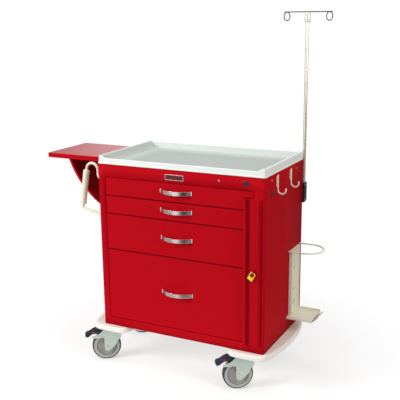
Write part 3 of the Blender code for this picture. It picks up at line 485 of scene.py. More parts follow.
def block(low, high, corner=0.001, edge=0.0006, plane="XY"):
    """A box between two corners with rounded corners and edges."""
    u, v, w = {"XY": (0, 1, 2), "XZ": (0, 2, 1), "YZ": (1, 2, 0)}[plane]
    return plate(rect((low[u], low[v]), (high[u], high[v]), corner, 3), low[w], high[w], plane, edge)


def frames(path, up, closed=False):
    """Sideways direction at each point of a path that lies in the plane square to up."""
    path = np.asarray(path, float)
    if closed:
        along = np.roll(path, -1, axis=0) - np.roll(path, 1, axis=0)
    else:
        along = np.gradient(path, axis=0)
    along /= np.linalg.norm(along, axis=1)[:, None]
    side = np.cross(along, up)
    return side / np.linalg.norm(side, axis=1)[:, None]


def sweep(path, section, up, closed=False, scale=None):
    """A section of (sideways, up) pairs drawn along a flat path; scale shrinks it point by point."""
    path = np.asarray(path, float)
    section = np.asarray(section, float)
    side = frames(path, up, closed)
    scale = np.ones(len(path)) if scale is None else np.asarray(scale)
    a = section[None, :, 0, None] * side[:, None, :]
    b = section[None, :, 1, None] * np.asarray(up, float)[None, None, :]
    return shell(path[:, None, :] + scale[:, None, None] * (a + b), closed)


def disc(radius, steps=16):
    """A circle as a section or an outline."""
    angles = np.arange(steps) * 2 * math.pi / steps
    return np.stack([radius * np.cos(angles), radius * np.sin(angles)], 1)


def rod(path, radius, up, steps=14, closed=False, dome=True):
    """A round bar along a flat path, with domed ends: r(s) = radius * sqrt(1 - (1 - s/radius)^2)."""
    path = np.asarray(path, float)
    if closed or not dome:
        return sweep(path, disc(radius, steps), up, closed)
    t = np.array([0.0, 0.15, 0.4, 0.7])
    first = path[0] + (path[1] - path[0]) / np.linalg.norm(path[1] - path[0]) * radius * t[:, None]
    last = path[-1] + (path[-2] - path[-1]) / np.linalg.norm(path[-2] - path[-1]) * radius * t[::-1, None]
    whole = np.concatenate([first, path[1:-1], last])
    ends = np.maximum(np.sqrt(1 - (1 - t) ** 2), 0.15)
    scale = np.concatenate([ends, np.ones(len(path) - 2), ends[::-1]])
    return sweep(whole, disc(radius, steps), up, False, scale)


def turned(profile, axis, centre, steps=40, closed=False):
    """(radius, height) pairs turned about an axis; open profiles are capped at both ends."""
    axis = np.asarray(axis, float) / np.linalg.norm(axis)
    across = np.cross(axis, (0.0, 0.0, 1.0) if abs(axis[2]) < 0.9 else (1.0, 0.0, 0.0))
    across /= np.linalg.norm(across)
    third = np.cross(axis, across)
    angles = np.arange(steps) * 2 * math.pi / steps
    round_ = np.cos(angles)[:, None] * across + np.sin(angles)[:, None] * third
    rings = [np.asarray(centre) + h * axis + max(r, 0.00001) * round_ for r, h in profile]
    return shell(rings, closed)


def arc(centre, radius, start, end, steps):
    """Points on a circle in a plane, from one angle to another (degrees)."""
    angles = np.radians(np.linspace(start, end, steps + 1))
    return np.stack([centre[0] + radius * np.cos(angles), centre[1] + radius * np.sin(angles)], 1)


def domed(at, axis, radius, height, steps=20):
    """A low button head: height * (1 - (r/radius)^2)."""
    r = np.array([1.0, 0.97, 0.85, 0.6, 0.3, 0.0]) * radius
    h = height * (1 - (r / radius) ** 2)
    return turned([(radius, -0.0004)] + list(zip(r, h)), axis, at, steps)


# ---------------------------------------------------------------- cabinet
def build_wrap():
    """Folded sheet: the plan wall, bend, front, bend, wall carried up the heights, less the opening."""
    bend_left, bend_right, sheet = 0.004, 0.0085, 0.0018
    left_wall = [(LEFT, y) for y in (DEPTH, 0.2, 0.02)]
    left_bend = arc((LEFT + bend_left, bend_left), bend_left, 180, 270, 6)
    front = [(x, 0.0) for x in (OPENING_LEFT, OPENING_RIGHT_LOW, OPENING_RIGHT)]
    right_bend = arc((RIGHT - bend_right, bend_right), bend_right, 270, 360, 8)
    right_wall = [(RIGHT, y) for y in (0.02, 0.2, DEPTH)]
    plan = np.concatenate([left_wall, left_bend, front, right_bend, right_wall])
    heights = [CABINET_BOTTOM, OPENING_BOTTOM, OPENING_STEP, OPENING_TOP, CABINET_TOP]
    points = np.concatenate([stand(plan, h, "XY") for h in heights])
    opening = len(left_wall) + len(left_bend)
    faces = []
    for face in grid_faces(len(heights), len(plan)):
        row, column = divmod(min(face), len(plan))
        beside_bar = row == 1 and column == opening
        above_bar = row == 2 and column in (opening, opening + 1)
        if not (beside_bar or above_bar):
            faces.append(face)
    mesh = bpy.data.meshes.new("cabinet_wrap")
    mesh.from_pydata((points + ORIGIN).tolist(), [], faces)
    mesh.shade_smooth()
    mesh.set_sharp_from_angle(angle=math.radians(34))
    mesh.materials.append(RED)
    mesh.materials.append(GAP_SHADE_RED)
    wrap = bpy.data.objects.new("cabinet_wrap", mesh)
    bpy.context.scene.collection.objects.link(wrap)
    wall = wrap.modifiers.new("sheet", "SOLIDIFY")
    wall.thickness = sheet
    wall.offset = -1.0
    wall.use_even_offset = True
    # the sheet's cut edges take the nearly black red: painted shade along the opening and gaps
    wall.material_offset_rim = 1
    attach(wrap, "cabinet")
    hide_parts("front_frame", "left_side_panel", "right_side_panel")


def build_opening():
    """The opening's turned-in edges, an outline carried inwards, and rails between the drawers, all nearly
    black as painted shade in the gaps.
    """
    hole = rounded([(OPENING_LEFT, OPENING_BOTTOM), (OPENING_RIGHT_LOW, OPENING_BOTTOM),
                    (OPENING_RIGHT_LOW, OPENING_STEP), (OPENING_RIGHT, OPENING_STEP),
                    (OPENING_RIGHT, OPENING_TOP), (OPENING_LEFT, OPENING_TOP)], 0.0008, 2)
    near, far, sheet = 0.0003, 0.016, 0.0014
    turned_in = [(0.0, near), (0.0, far), (-sheet, far), (-sheet, near)]
    piece("opening_returns", carried(hole, turned_in, "XZ", True), GAP_SHADE_RED, "cabinet")
    levels = [OPENING_BOTTOM] + [top for _, top in DRAWERS[::-1]]
    rails = [block((OPENING_LEFT - 0.0010, 0.0165, z - 0.006), (OPENING_RIGHT - 0.001, 0.0205, z + 0.006),
                   0.0005, 0.0003, "XZ") for z in levels]
    piece("gap_shade_rails", merged(*rails), GAP_SHADE_RED, "cabinet")


def build_fittings():
    """Snap-in hole plugs with a rolled rim, and button-headed screws and rivets."""
    front_plug = turned([(0.0108, -0.0006), (0.0108, 0.0), (0.0104, 0.0012), (0.0088, 0.0019),
                         (0.0060, 0.0014), (0.0, 0.0012)], TO_FRONT, (0.650, 0.0, 0.852), 28)
    side_plug = turned([(0.0113, -0.0006), (0.0113, 0.0), (0.0109, 0.0012), (0.0090, 0.0019),
                        (0.0062, 0.0014), (0.0, 0.0012)], TO_RIGHT, (RIGHT, PLUG_Y, PLUG_Z), 28)
    piece("hole_plugs", merged(front_plug, side_plug), BLACK, "cabinet")
    piece("front_screw", domed((0.539, 0.0, 0.854), TO_FRONT, 0.0042, 0.0018), STEEL, "cabinet")
    screws = [domed((RIGHT, y, z), TO_RIGHT, 0.0046, 0.0020) for y, z in SIDE_SCREWS]
    piece("side_screws", merged(*screws), STEEL, "cabinet")
    along_edges = [(x, z) for x in (0.010, 0.190, 0.360, 0.530, 0.711) for z in (0.196, 0.864)]
    along_sides = [(x, z) for x in (0.010, 0.711) for z in (0.42, 0.64)]
    rivets = [domed((x, DEPTH, z), TO_BACK, 0.0042, 0.0016) for x, z in along_edges + along_sides]
    piece("back_rivets", merged(*rivets), STEEL, "cabinet")


def build_nameplate():
    """A blank plate: a nickel border with rounded edges and a flat field let into it."""
    border = rect((0.307, 0.8385), (0.388, 0.861), 0.0022, 4)
    piece("nameplate_border", plate(border, -0.0021, -0.0002, "XZ", 0.0005), NICKEL, "cabinet",
          ("nameplate",))
    field = inset(border, 0.0022)
    piece("nameplate_inlay", plate(field, -0.00235, -0.0015, "XZ", 0.0001), PLATE_FIELD, "cabinet")


# ---------------------------------------------------------------- drawers
def build_drawer_front(number, low, high):
    """Folded pan: its outline carried back with rolled edges; the top one is stepped above the bar."""
    left, right = OPENING_LEFT + GAP_HALF, OPENING_RIGHT_LOW - GAP_HALF
    corners = [(left, low), (right, low), (right, high), (left, high)]
    if number == 1:
        wide = OPENING_RIGHT - GAP_HALF
        step = BAR_TOP + 2 * GAP_HALF
        corners = [(left, low), (right, low), (right, step), (wide, step), (wide, high), (left, high)]
    rim, sheet = 0.014, 0.0010
    pan = [(0.0008, 0.0), (0.0004, 0.0001), (0.0001, 0.0004), (0.0, 0.0008), (0.0, 0.0016), (0.0, rim),
           (sheet, rim), (sheet, 0.0013)]
    # the pan's turned-back sides take the nearly black red: painted shade in the gaps between drawers
    piece(f"front_pan_{number}", carried(rounded(corners, 0.0024, 4), pan, "XZ"), RED, f"drawer_{number}",
          (f"drawer_{number}_front",), second=GAP_SHADE_RED, where=lambda at: at[:, 1] > 0.0007)


def build_pull(number, height):
    """Bow pull: a flat strap, ribbed along its middle, on the curve y = rise * (1 - (s/0.92)^2)^0.9."""
    foot_depth, rise = -0.0016, 0.0292
    x = np.linspace(PULL_LEFT, PULL_RIGHT, 41)
    s = np.abs(np.linspace(-1, 1, 41))
    y = foot_depth - rise * np.clip(1 - (s / 0.92) ** 2, 0, 1) ** 0.9
    path = stand(np.stack([x, y], 1), height, "XY")
    strap = rect((-0.0012, -0.0080), (0.0012, 0.0080), 0.0009, 3)
    rib = rect((-0.0016, -0.0013), (0.0016, 0.0013), 0.0006, 2)
    solid = merged(sweep(path, strap, UP), sweep(path[2:-2], rib, UP))
    piece(f"bow_pull_{number}", solid, NICKEL, f"drawer_{number}", (f"drawer_{number}_pull",))
    screws = [domed((x_foot, -0.0028, height), TO_FRONT, 0.0026, 0.0010, 14)
              for x_foot in (PULL_LEFT + 0.0045, PULL_RIGHT - 0.0045)]
    piece(f"pull_screws_{number}", merged(*screws), STEEL, f"drawer_{number}")


def build_drawers():
    """Four drawers, each with a gap's half taken off its opening below and above."""
    for number, (bottom, top) in enumerate(DRAWERS, start=1):
        low, high = bottom + GAP_HALF, top - GAP_HALF
        build_drawer_front(number, low, high)
        build_pull(number, (low + high) / 2 + PULL_LIFT)


# ---------------------------------------------------------------- locking bar and seal
def build_bar_channel():
    """Bent strip: a standing flange over the drawers' edges, a groove, and a flat leaf to the hinge."""
    line = rounded_path([(0.6462, -0.0012), (0.6462, -0.0151), (0.6540, -0.0151), (0.6555, -0.0024),
                         (0.6672, -0.0024), (0.6684, -0.0040), (0.7045, -0.0040)], 0.0016)
    half_sheet = 0.0009
    side = frames(stand(line, 0.0, "XY"), UP)[:, :2]
    strip = np.concatenate([line + side * half_sheet, (line - side * half_sheet)[::-1]])
    solid = plate(strip, BAR_BOTTOM, BAR_TOP, "XY", 0.0003, 2)

    # the groove floor takes the darker red: a painted shadow of the flange
    def in_groove(at):
        return (at[:, 0] > 0.6546) & (at[:, 0] < 0.6676) & (at[:, 1] > -0.0125)

    piece("bar_channel", solid, RED, "locking_bar", ("locking_bar",), second=GROOVE_SHADOW_RED, where=in_groove)


def build_piano_hinge():
    """Turned knuckles in turn on the bar and on the cabinet, each with its tongue of leaf."""
    axis_x, axis_y, knuckle = 0.7095, -0.0040, 0.0025
    count, gap, edge = 79, 0.0003, 0.0004
    pitch = (BAR_TOP - BAR_BOTTOM) / count
    moving, fixed = [], []
    for i in range(count):
        low, high = BAR_BOTTOM + i * pitch + gap, BAR_BOTTOM + (i + 1) * pitch - gap
        length = high - low
        profile = [(knuckle - edge, 0.0), (knuckle, edge), (knuckle, length - edge), (knuckle - edge, length)]
        barrel = turned(profile, UP, (axis_x, axis_y, low), 16)
        if i % 2:
            tongue = block((axis_x + 0.0015, -0.0019, low), (RIGHT - 0.0095, -0.0002, high),
                           0.0004, 0.0002, "XZ")
            fixed += [barrel, tongue]
        else:
            tongue = block((0.7040, -0.0049, low), (axis_x - 0.0012, -0.0031, high),
                           0.0004, 0.0002, "XZ")
            moving += [barrel, tongue]
    fixed.append(block((axis_x + 0.0042, -0.0019, BAR_BOTTOM), (RIGHT - 0.0090, -0.0003, BAR_TOP),
                       0.0006, 0.0003, "XZ"))
    piece("piano_hinge_fixed", merged(*fixed), RED, "cabinet", ("bar_hinge_leaf",))
    piece("piano_hinge_moving", merged(*moving), RED, "locking_bar")


def build_hasp_and_seal():
    """A punched tab through the bar, and a tag with a square loop of strap that hangs tilted from it."""
    hang = np.array([0.6862, -0.0125, 0.5130])
    tab = rect((-0.0180, 0.5045), (-0.0055, 0.5235), 0.0030, 4)
    piece("hasp_tab", shell([stand(tab, x, "YZ") for x in (0.6853, 0.6854, 0.6870, 0.6871)]), RED,
          "locking_bar", ("bar_hasp",))
    half, top, neck = 0.0093, -0.0010, -0.0185
    loop = rounded_path([(-half, neck), (-half, top), (half, top), (half, neck)], 0.003)
    strap = rod(stand(loop, 0.0, "XZ"), 0.0022, TO_BACK, 12, dome=False)
    tag = plate(rect((-0.0115, -0.0325), (0.0115, neck), 0.0018, 4), -0.0022, 0.0022, "XZ", 0.0008)
    rib = plate(rect((-0.0085, -0.0300), (0.0085, -0.0210), 0.0012, 3), -0.0026, 0.0026, "XZ", 0.0003)
    points, faces = merged(strap, tag, rib)
    tilt = Matrix.Rotation(math.radians(28), 3, "Y")
    piece("breakable_seal", (points @ np.array(tilt).T + hang, faces), YELLOW, "security_seal",
          ("security_seal",))


# ---------------------------------------------------------------- tray and base
def tray_ring(amount, radius):
    """Plan of the tray moved in by amount, corners rounded, with extra points along the front."""
    ring = rect((LEFT + amount, amount), (RIGHT - amount, DEPTH - amount), radius, 6)
    corner = np.concatenate([np.linspace(0.05, 0.45, 9), np.linspace(0.55, 0.95, 5)]) * 0.10
    shares = np.concatenate([corner, np.linspace(0.15, 0.85, 8), 1.0 - corner[::-1]])
    on_front = np.abs(ring[:, 1] - amount) < 1e-7
    first = np.argmax(on_front & np.roll(on_front, -1))
    a, c = ring[first], ring[first + 1]
    extra = a + shares[:, None] * (c - a)
    return np.concatenate([ring[:first + 1], extra, ring[first + 1:]])


def build_tray():
    """Moulded tray: proud ledge, leaning outer wall, rounded rim, coved inner wall, lower front rim.

    A profile of (inset, height) pairs goes round the plan; near the front its height drops in
    proportion to its own share of the rim's height.
    """
    rim, floor, ledge = TRAY_TOP, TRAY_FLOOR, TRAY_BOTTOM
    outside = [(0.0, ledge), (-0.0012, ledge + 0.0006), (-0.0012, ledge + 0.0034), (0.0002, ledge + 0.0044),
               (0.0010, ledge + 0.0060), (0.0018, rim - 0.0050), (0.0022, rim - 0.0022),
               (0.0032, rim - 0.0006)]
    inside = [(0.0048, rim), (0.0082, rim), (0.0100, rim - 0.0007), (0.0113, rim - 0.0026),
              (0.0135, rim - 0.0100), (0.0158, floor + 0.0090), (0.0180, floor + 0.0036),
              (0.0212, floor + 0.0008), (0.0270, floor)]
    front_drop, inner_edge = 0.0100, 0.0110
    foot = ledge + 0.006
    rings = []
    for amount, height in outside + inside:
        plan = tray_ring(amount, 0.007 + max(amount, 0.0) * 0.45)
        near_front = np.clip((0.075 - plan[:, 1]) / 0.040, 0, 1)
        from_side = np.minimum(plan[:, 0] - LEFT, RIGHT - plan[:, 0])
        off_ends = np.clip((from_side - 0.018) / 0.014, 0, 1)
        share = np.clip((height - foot) / (rim - foot), 0, 1)
        rings.append(stand(plan, height - front_drop * near_front * off_ends * share, "XY"))

    def within_rim(at):
        across = np.abs(at[:, 0] - (LEFT + RIGHT) / 2) < (RIGHT - LEFT) / 2 - inner_edge
        return across & (np.abs(at[:, 1] - DEPTH / 2) < DEPTH / 2 - inner_edge)

    # the floor within the rim takes the grey: painted shade
    piece("moulded_tray", shell(rings), WHITE, "cabinet", ("top_tray",), 50.0,
          second=TRAY_FLOOR_SHADE, where=within_rim)


def build_base():
    """Moulded bumper: bowed ends, a lobe over each caster, a waist between, and full round edges.

    A quarter of the plan is an arc for the bowed end, an ellipse's quarter for the corner and a
    rounded path for the waist; mirrored twice it is the whole.
    """
    middle = (0.343, DEPTH / 2)
    end_reach, corner_reach, corner_round = 0.4300, 0.398, 0.048
    half_cabinet, half_depth = DEPTH / 2, DEPTH / 2 + 0.024
    sag = end_reach - corner_reach
    radius = (half_cabinet ** 2 + sag ** 2) / (2 * sag)
    spread = math.degrees(math.asin(half_cabinet / radius))
    bow = arc((end_reach - radius, 0.0), radius, 0, spread, 14)
    a = np.radians(np.arange(9, 91, 9))
    corner = np.stack([corner_reach - corner_round * (1 - np.cos(a)),
                       half_cabinet + (half_depth - half_cabinet) * np.sin(a)], 1)
    waist_depth = half_depth - 0.068
    waist = rounded_path([(0.329, half_depth), (0.262, half_depth), (0.240, half_depth - 0.008),
                          (0.222, waist_depth + 0.012), (0.198, waist_depth), (0.0, waist_depth)], 0.014)
    quarter = np.concatenate([bow, corner, waist[1:]])
    upper = np.concatenate([quarter, (quarter[:-1] * (-1, 1))[::-1]])
    lower = (upper[1:-1] * (1, -1))[::-1]
    plan = np.concatenate([upper, lower]) + middle
    solid = plate(plan, 0.155, 0.1800, "XY", 0.0085, 6)
    piece("moulded_bumper", solid, BASE, "cabinet", ("base_bumper",), 50.0)


# ---------------------------------------------------------------- casters
CASTER_SPIN = np.array(Matrix.Rotation(CASTER_TURN, 3, "Z"))
AXLE = (-0.040, 0.0, 0.0625)


def at_caster(name, *solids):
    """Solids drawn about a caster's upright axis, turned with it and carried to its place."""
    points, faces = merged(*solids)
    x, y = CASTERS[name]
    return points @ CASTER_SPIN.T + (x, y, 0.0), faces


def build_race(name):
    """Turned plate and ball race between the base and the fork."""
    profile = [(0.0300, 0.1548), (0.0310, 0.1540), (0.0310, 0.1522), (0.0290, 0.1514), (0.0250, 0.1512),
               (0.0262, 0.1500), (0.0262, 0.1484), (0.0240, 0.1476), (0.0060, 0.1476), (0.0060, 0.1390),
               (0.0, 0.1387)]
    piece(f"race_{name}", at_caster(name, turned(profile, UP, (0.0, 0.0, 0.0), 40)), ZINC, "cabinet",
          (f"caster_head_{name}",))


def fork_front():
    """The fork's closed front: a U-bent sheet whose reach forward grows with height."""
    bend, half, sheet, back = 0.0085, 0.0241, 0.0024, 0.014
    rows = []
    for z, front in ((0.0935, 0.0180), (0.0960, 0.0200), (0.1050, 0.0235), (0.1180, 0.0258),
                     (0.1300, 0.0266), (0.1420, 0.0268), (0.1455, 0.0262), (0.1472, 0.0235)):
        outer = [(front - back, -half), (front, -half), (front, half), (front - back, half)]
        inner = [(front - back, -half + sheet), (front - sheet, -half + sheet),
                 (front - sheet, half - sheet), (front - back, half - sheet)]
        u_bend = np.concatenate([rounded_path(outer, bend, 6), rounded_path(inner, bend, 6)[::-1]])
        rows.append(stand(u_bend, z, "XY"))
    return shell(rows)


def build_fork(name, braked):
    """Pressed fork: two cheeks, a top plate and a closed front, with nuts, washers, studs and axle."""
    outer, inner = 0.0240, 0.0216
    cheek = [(0.0190, 0.1455), (0.0185, 0.1180), (0.0110, 0.0930), (0.0000, 0.0690), (-0.0240, 0.0465),
             (-0.0330, 0.0425), (-0.0420, 0.0428), (-0.0483, 0.0475), (-0.0500, 0.0540), (-0.0500, 0.1040)]
    if braked:
        cheek += [(-0.0980, 0.1040), (-0.1040, 0.1080), (-0.1040, 0.1130), (-0.0720, 0.1225),
                  (-0.0470, 0.1455)]
    else:
        cheek += [(-0.0530, 0.1160), (-0.0510, 0.1320), (-0.0450, 0.1455)]
    outline = rounded(cheek, 0.006, 4)
    parts = [plate(outline, low, high, "XZ", 0.0005, 2) for low, high in ((-outer, -inner), (inner, outer))]
    parts.append(plate(rect((-0.0480, -0.0240), (0.0240, 0.0240), 0.010, 5), 0.1446, 0.1472, "XY", 0.0008, 3))
    parts.append(fork_front())
    for sign in (-1, 1):
        outward = (0.0, float(sign), 0.0)
        nut_seat = (AXLE[0], sign * outer, AXLE[2])
        parts.append(turned([(0.0072, -0.0008), (0.0072, 0.0032), (0.0064, 0.0042), (0.0, 0.0042)],
                            outward, nut_seat, 6))
        parts.append(turned([(0.0090, -0.0006), (0.0090, 0.0008), (0.0086, 0.0012), (0.0, 0.0012)],
                            outward, nut_seat, 24))
        parts.append(domed((AXLE[0], sign * outer, 0.1198), outward, 0.0036, 0.0016, 14))
    parts.append(turned([(0.0058, -inner), (0.0058, inner)], TO_BACK, AXLE, 16))
    piece(f"fork_{name}", at_caster(name, *parts), ZINC, f"swivel_{name}", (f"caster_fork_{name}",))


def wheel_ring(half_profile):
    """A closed ring about the axle from half of its profile, mirrored across the wheel's middle."""
    whole = half_profile + [(r, -h) for r, h in half_profile[::-1]]
    return turned(whole, TO_BACK, AXLE, 64, True)


def build_wheel(name):
    """Wheel: a hub and web, a pale tyre wall, a dark line where they meet and a dark crown."""
    hub_and_web = [(0.0068, 0.0190), (0.0135, 0.0190), (0.0145, 0.0180), (0.0150, 0.0120), (0.0172, 0.0098),
                   (0.0350, 0.0098), (0.0372, 0.0108), (0.0384, 0.0146), (0.0396, 0.0152), (0.0412, 0.0152),
                   (0.0418, 0.0140), (0.0440, 0.0140)]
    wall = [(0.0424, 0.0142), (0.0434, 0.0156), (0.0450, 0.0160), (0.0540, 0.0158), (0.0558, 0.0152),
            (0.0560, 0.0120)]
    crown = [(0.0552, 0.0148), (0.0570, 0.0151), (0.0595, 0.0142), (0.0614, 0.0118), (0.0623, 0.0080),
             (0.0625, 0.0030)]
    near, far, low, high = 0.0412, 0.0428, 0.0136, 0.0161
    lines = [turned([(near, sign * low), (near, sign * high), (far, sign * high), (far, sign * low)],
                    TO_BACK, AXLE, 64, True) for sign in (-1, 1)]
    body = f"wheel_{name}"
    piece(f"wheel_core_look_{name}", at_caster(name, wheel_ring(hub_and_web)), GREY, body,
          (f"wheel_core_{name}",))
    piece(f"tyre_wall_{name}", at_caster(name, wheel_ring(wall)), TREAD, body, (f"wheel_tyre_{name}",))
    piece(f"rim_line_{name}", at_caster(name, *lines), DARK_TREAD, body)
    piece(f"tyre_crown_{name}", at_caster(name, wheel_ring(crown)), DARK_TREAD, body)


def build_pedal(name):
    """Brake pedal: a moulded lever with rounded edges, four grip bars and a coloured dot."""
    lever = rounded([(-0.053, 0.1395), (-0.066, 0.1440), (-0.085, 0.1443), (-0.100, 0.1378), (-0.113, 0.1280),
                     (-0.123, 0.1266), (-0.1305, 0.1215), (-0.1318, 0.1120), (-0.125, 0.1062),
                     (-0.1155, 0.1085), (-0.104, 0.1185), (-0.090, 0.1250), (-0.072, 0.1290),
                     (-0.056, 0.1300)], 0.006, 4)
    half_width, grip_half = 0.0155, 0.0125
    grips = [rod([(u, -grip_half, z), (u, grip_half, z)], 0.0013, UP, 8)
             for u, z in ((-0.1175, 0.1268), (-0.1230, 0.1252), (-0.1275, 0.1218), (-0.1302, 0.1175))]
    solid = at_caster(name, plate(lever, -half_width, half_width, "XZ", 0.0022, 4), *grips)
    finish_of_pedal = BLACK if name.endswith("left") else BLUE_BLACK
    piece(f"pedal_{name}", solid, finish_of_pedal, f"pedal_{name}", (f"brake_pedal_{name}",))
    dot = turned([(0.0042, -0.0004), (0.0042, 0.0006), (0.0036, 0.0010), (0.0, 0.0010)], TO_FRONT,
                 (-0.0970, -half_width, 0.1300), 18)
    piece(f"pedal_dot_{name}", at_caster(name, dot), SIGNAL, f"pedal_{name}")


def build_casters():
    """Four casters; the two in front have brakes."""
    for name in CASTERS:
        braked = name.startswith("front")
        build_race(name)
        build_fork(name, braked)
        build_wheel(name)
        if braked:
            build_pedal(name)


# ---------------------------------------------------------------- left side
def build_shelf_pan():
    """Pan shelf: its plan carried up, over the rolled edge and down inside the turned-down lips."""
    plan = rect((-0.305, 0.060), (-0.0095, 0.340), 0.004, 4)
    foot, top, sheet = 0.8730, 0.8930, 0.0014
    outer = [(0.0, foot), (0.0, 0.8905), (0.0005, 0.8920), (sheet, 0.8928), (0.0030, top)]
    inner = [(0.0030, top - 0.0016), (sheet, 0.8900), (sheet, foot)]
    points = np.concatenate([stand(inset(plan, a), h, "XY") for a, h in outer + inner])
    count, rows = len(plan), len(outer)
    under = [[i + rows * count for i in face] for face in grid_faces(len(inner), count, False, True)]
    faces = grid_faces(rows, count, False, True) + under
    faces.append(list(range((rows - 1) * count, rows * count)))
    faces.append(list(range(rows * count, (rows + 1) * count))[::-1])
    last = (rows + len(inner) - 1) * count
    faces += [[i, (i + 1) % count, last + (i + 1) % count, last + i] for i in range(count)]
    piece("shelf_pan", (points, faces), RED, "side_shelf", ("side_shelf",),
          second=GLOSS_RED, where=lambda at: at[:, 2] > top - 0.0005)


def build_shelf_hinge():
    """A row of turned knuckles and the leaf screwed to the wall."""
    profile = [(0.0024, 0.0), (0.0028, 0.0004), (0.0028, 0.0196), (0.0024, 0.0200)]
    knuckles = [turned(profile, TO_BACK, (LEFT - 0.006, 0.072 + 0.0206 * i, 0.876), 16) for i in range(12)]
    piece("shelf_knuckles", merged(*knuckles), RED, "cabinet")
    leaf = block((LEFT - 0.0023, 0.070, 0.842), (LEFT - 0.0003, 0.330, 0.8715), 0.002, 0.0004, "YZ")
    piece("shelf_leaf", leaf, RED, "cabinet", ("shelf_hinge_leaf",))


def build_shelf_support():
    """Curved sheet with turned-in lips: a channel section on an arc, its lips cut back at the foot."""
    centre, radius = (0.1435, 1.0030), 0.3745
    head = 180 + math.degrees(math.asin((centre[1] - 0.874) / radius))
    foot = 180 + math.degrees(math.acos((centre[0] - (LEFT - 0.0045)) / radius))
    half_lip, sheet, half_width, middle = 0.0055, 0.0018, 0.125, 0.200
    skin = half_lip - sheet
    section = rounded([(half_lip, -half_width), (half_lip, half_width), (-half_lip, half_width),
                       (-half_lip, half_width - sheet), (skin, half_width - sheet),
                       (skin, -half_width + sheet), (-half_lip, -half_width + sheet),
                       (-half_lip, -half_width)], 0.0008, 2)
    line = arc(centre, radius - half_lip, head, foot, 36)
    outward = (line - centre) / np.linalg.norm(line - centre, axis=1)[:, None]
    to_foot = np.arange(len(line))[::-1]
    lip_share = np.minimum(1.0, 0.10 + to_foot / 3.5)[:, None]
    depth = section[None, :, 0] - skin
    reach = skin + np.where(depth < 0, depth * lip_share, depth)
    rings = np.stack([line[:, None, 0] + reach * outward[:, None, 0],
                      np.broadcast_to(middle + section[:, 1], reach.shape),
                      line[:, None, 1] + reach * outward[:, None, 1]], 2)
    piece("curved_support", shell(rings), RED, "shelf_prop", ("shelf_prop",))


def build_push_handle():
    """Bent tube with flared feet and a scalloped grip: r(s) = r0 + a * |sin(14 pi s)|^0.7."""
    y, lean, foot_x = 0.030, 9.6, LEFT - 0.0004
    upper_foot, lower_foot = 0.812, 0.655
    down = np.array([-math.sin(math.radians(lean)), -math.cos(math.radians(lean))])
    inward = np.array([-down[1], down[0]])
    crook = [arc((-0.0155, 0.8245), 0.0125, 275, 180, 6), arc((-0.056, 0.843), 0.028, 0, 180 - lean, 20)]
    top = crook[-1][-1]
    heel_radius = 0.010
    heel = arc(top + down * 0.1665 + inward * heel_radius, heel_radius, 180 - lean, 274, 8)
    line = np.concatenate([[(foot_x, upper_foot), (-0.0120, upper_foot)], *crook, heel,
                           [(-0.0120, lower_foot), (foot_x, lower_foot)]])
    tube = rod(stand(line, y, "XZ"), 0.0055, TO_BACK, 18, dome=False)
    feet = [turned([(0.0115, 0.0), (0.0115, 0.0012), (0.0095, 0.0024), (0.0068, 0.0032), (0.0056, 0.0060)],
                   TO_LEFT, (LEFT - 0.0003, y, z), 28) for z in (upper_foot, lower_foot)]
    piece("handle_tube_look", merged(tube, *feet), IVORY, "cabinet", ("push_handle_tube",))

    first = top + down * 0.008
    length, scallops, bore, end = 0.150, 14, 0.0062, 0.0095
    s = np.linspace(0, 1, scallops * 8 + 1)
    radius = 0.0118 + 0.0017 * np.abs(np.sin(scallops * math.pi * s)) ** 0.7
    profile = [(bore, 0.0), (end, 0.0), *zip(radius[2:-2], length * s[2:-2]), (end, length), (bore, length)]
    grip = turned(profile, (down[0], 0.0, down[1]), (first[0], y, first[1]), 32, True)
    piece("ribbed_grip", grip, IVORY, "cabinet", ("push_handle_grip",), 60.0)


# ---------------------------------------------------------------- right side
def build_hooks():
    """Two J hooks of bent rod, a shank and half a circle, on pads welded flat on the wall."""
    bend = 0.0162
    x = RIGHT + 0.0036
    for name, y, top in (("front", 0.1194, 0.8720), ("rear", 0.2658, 0.8697)):
        line = np.concatenate([[(x, top), (x, top - 0.029)],
                               arc((x + bend, top - 0.058), bend, 180, 360, 20),
                               [(x + 2 * bend, top - 0.051)]])
        hook = rod(stand(line, y, "XZ"), 0.0030, TO_BACK, 18)
        pad = block((RIGHT, y - 0.006, top - 0.046), (RIGHT + 0.0012, y + 0.006, top - 0.006),
                    0.003, 0.0004, "YZ")
        piece(f"j_hook_{name}", merged(hook, pad), IVORY, "cabinet", (f"utility_hook_{name}",))


BRACKET_WALL = RIGHT + 0.0003
BRACKET_SHEET = 0.0025
BRACKET_FACE = BRACKET_WALL + BRACKET_SHEET


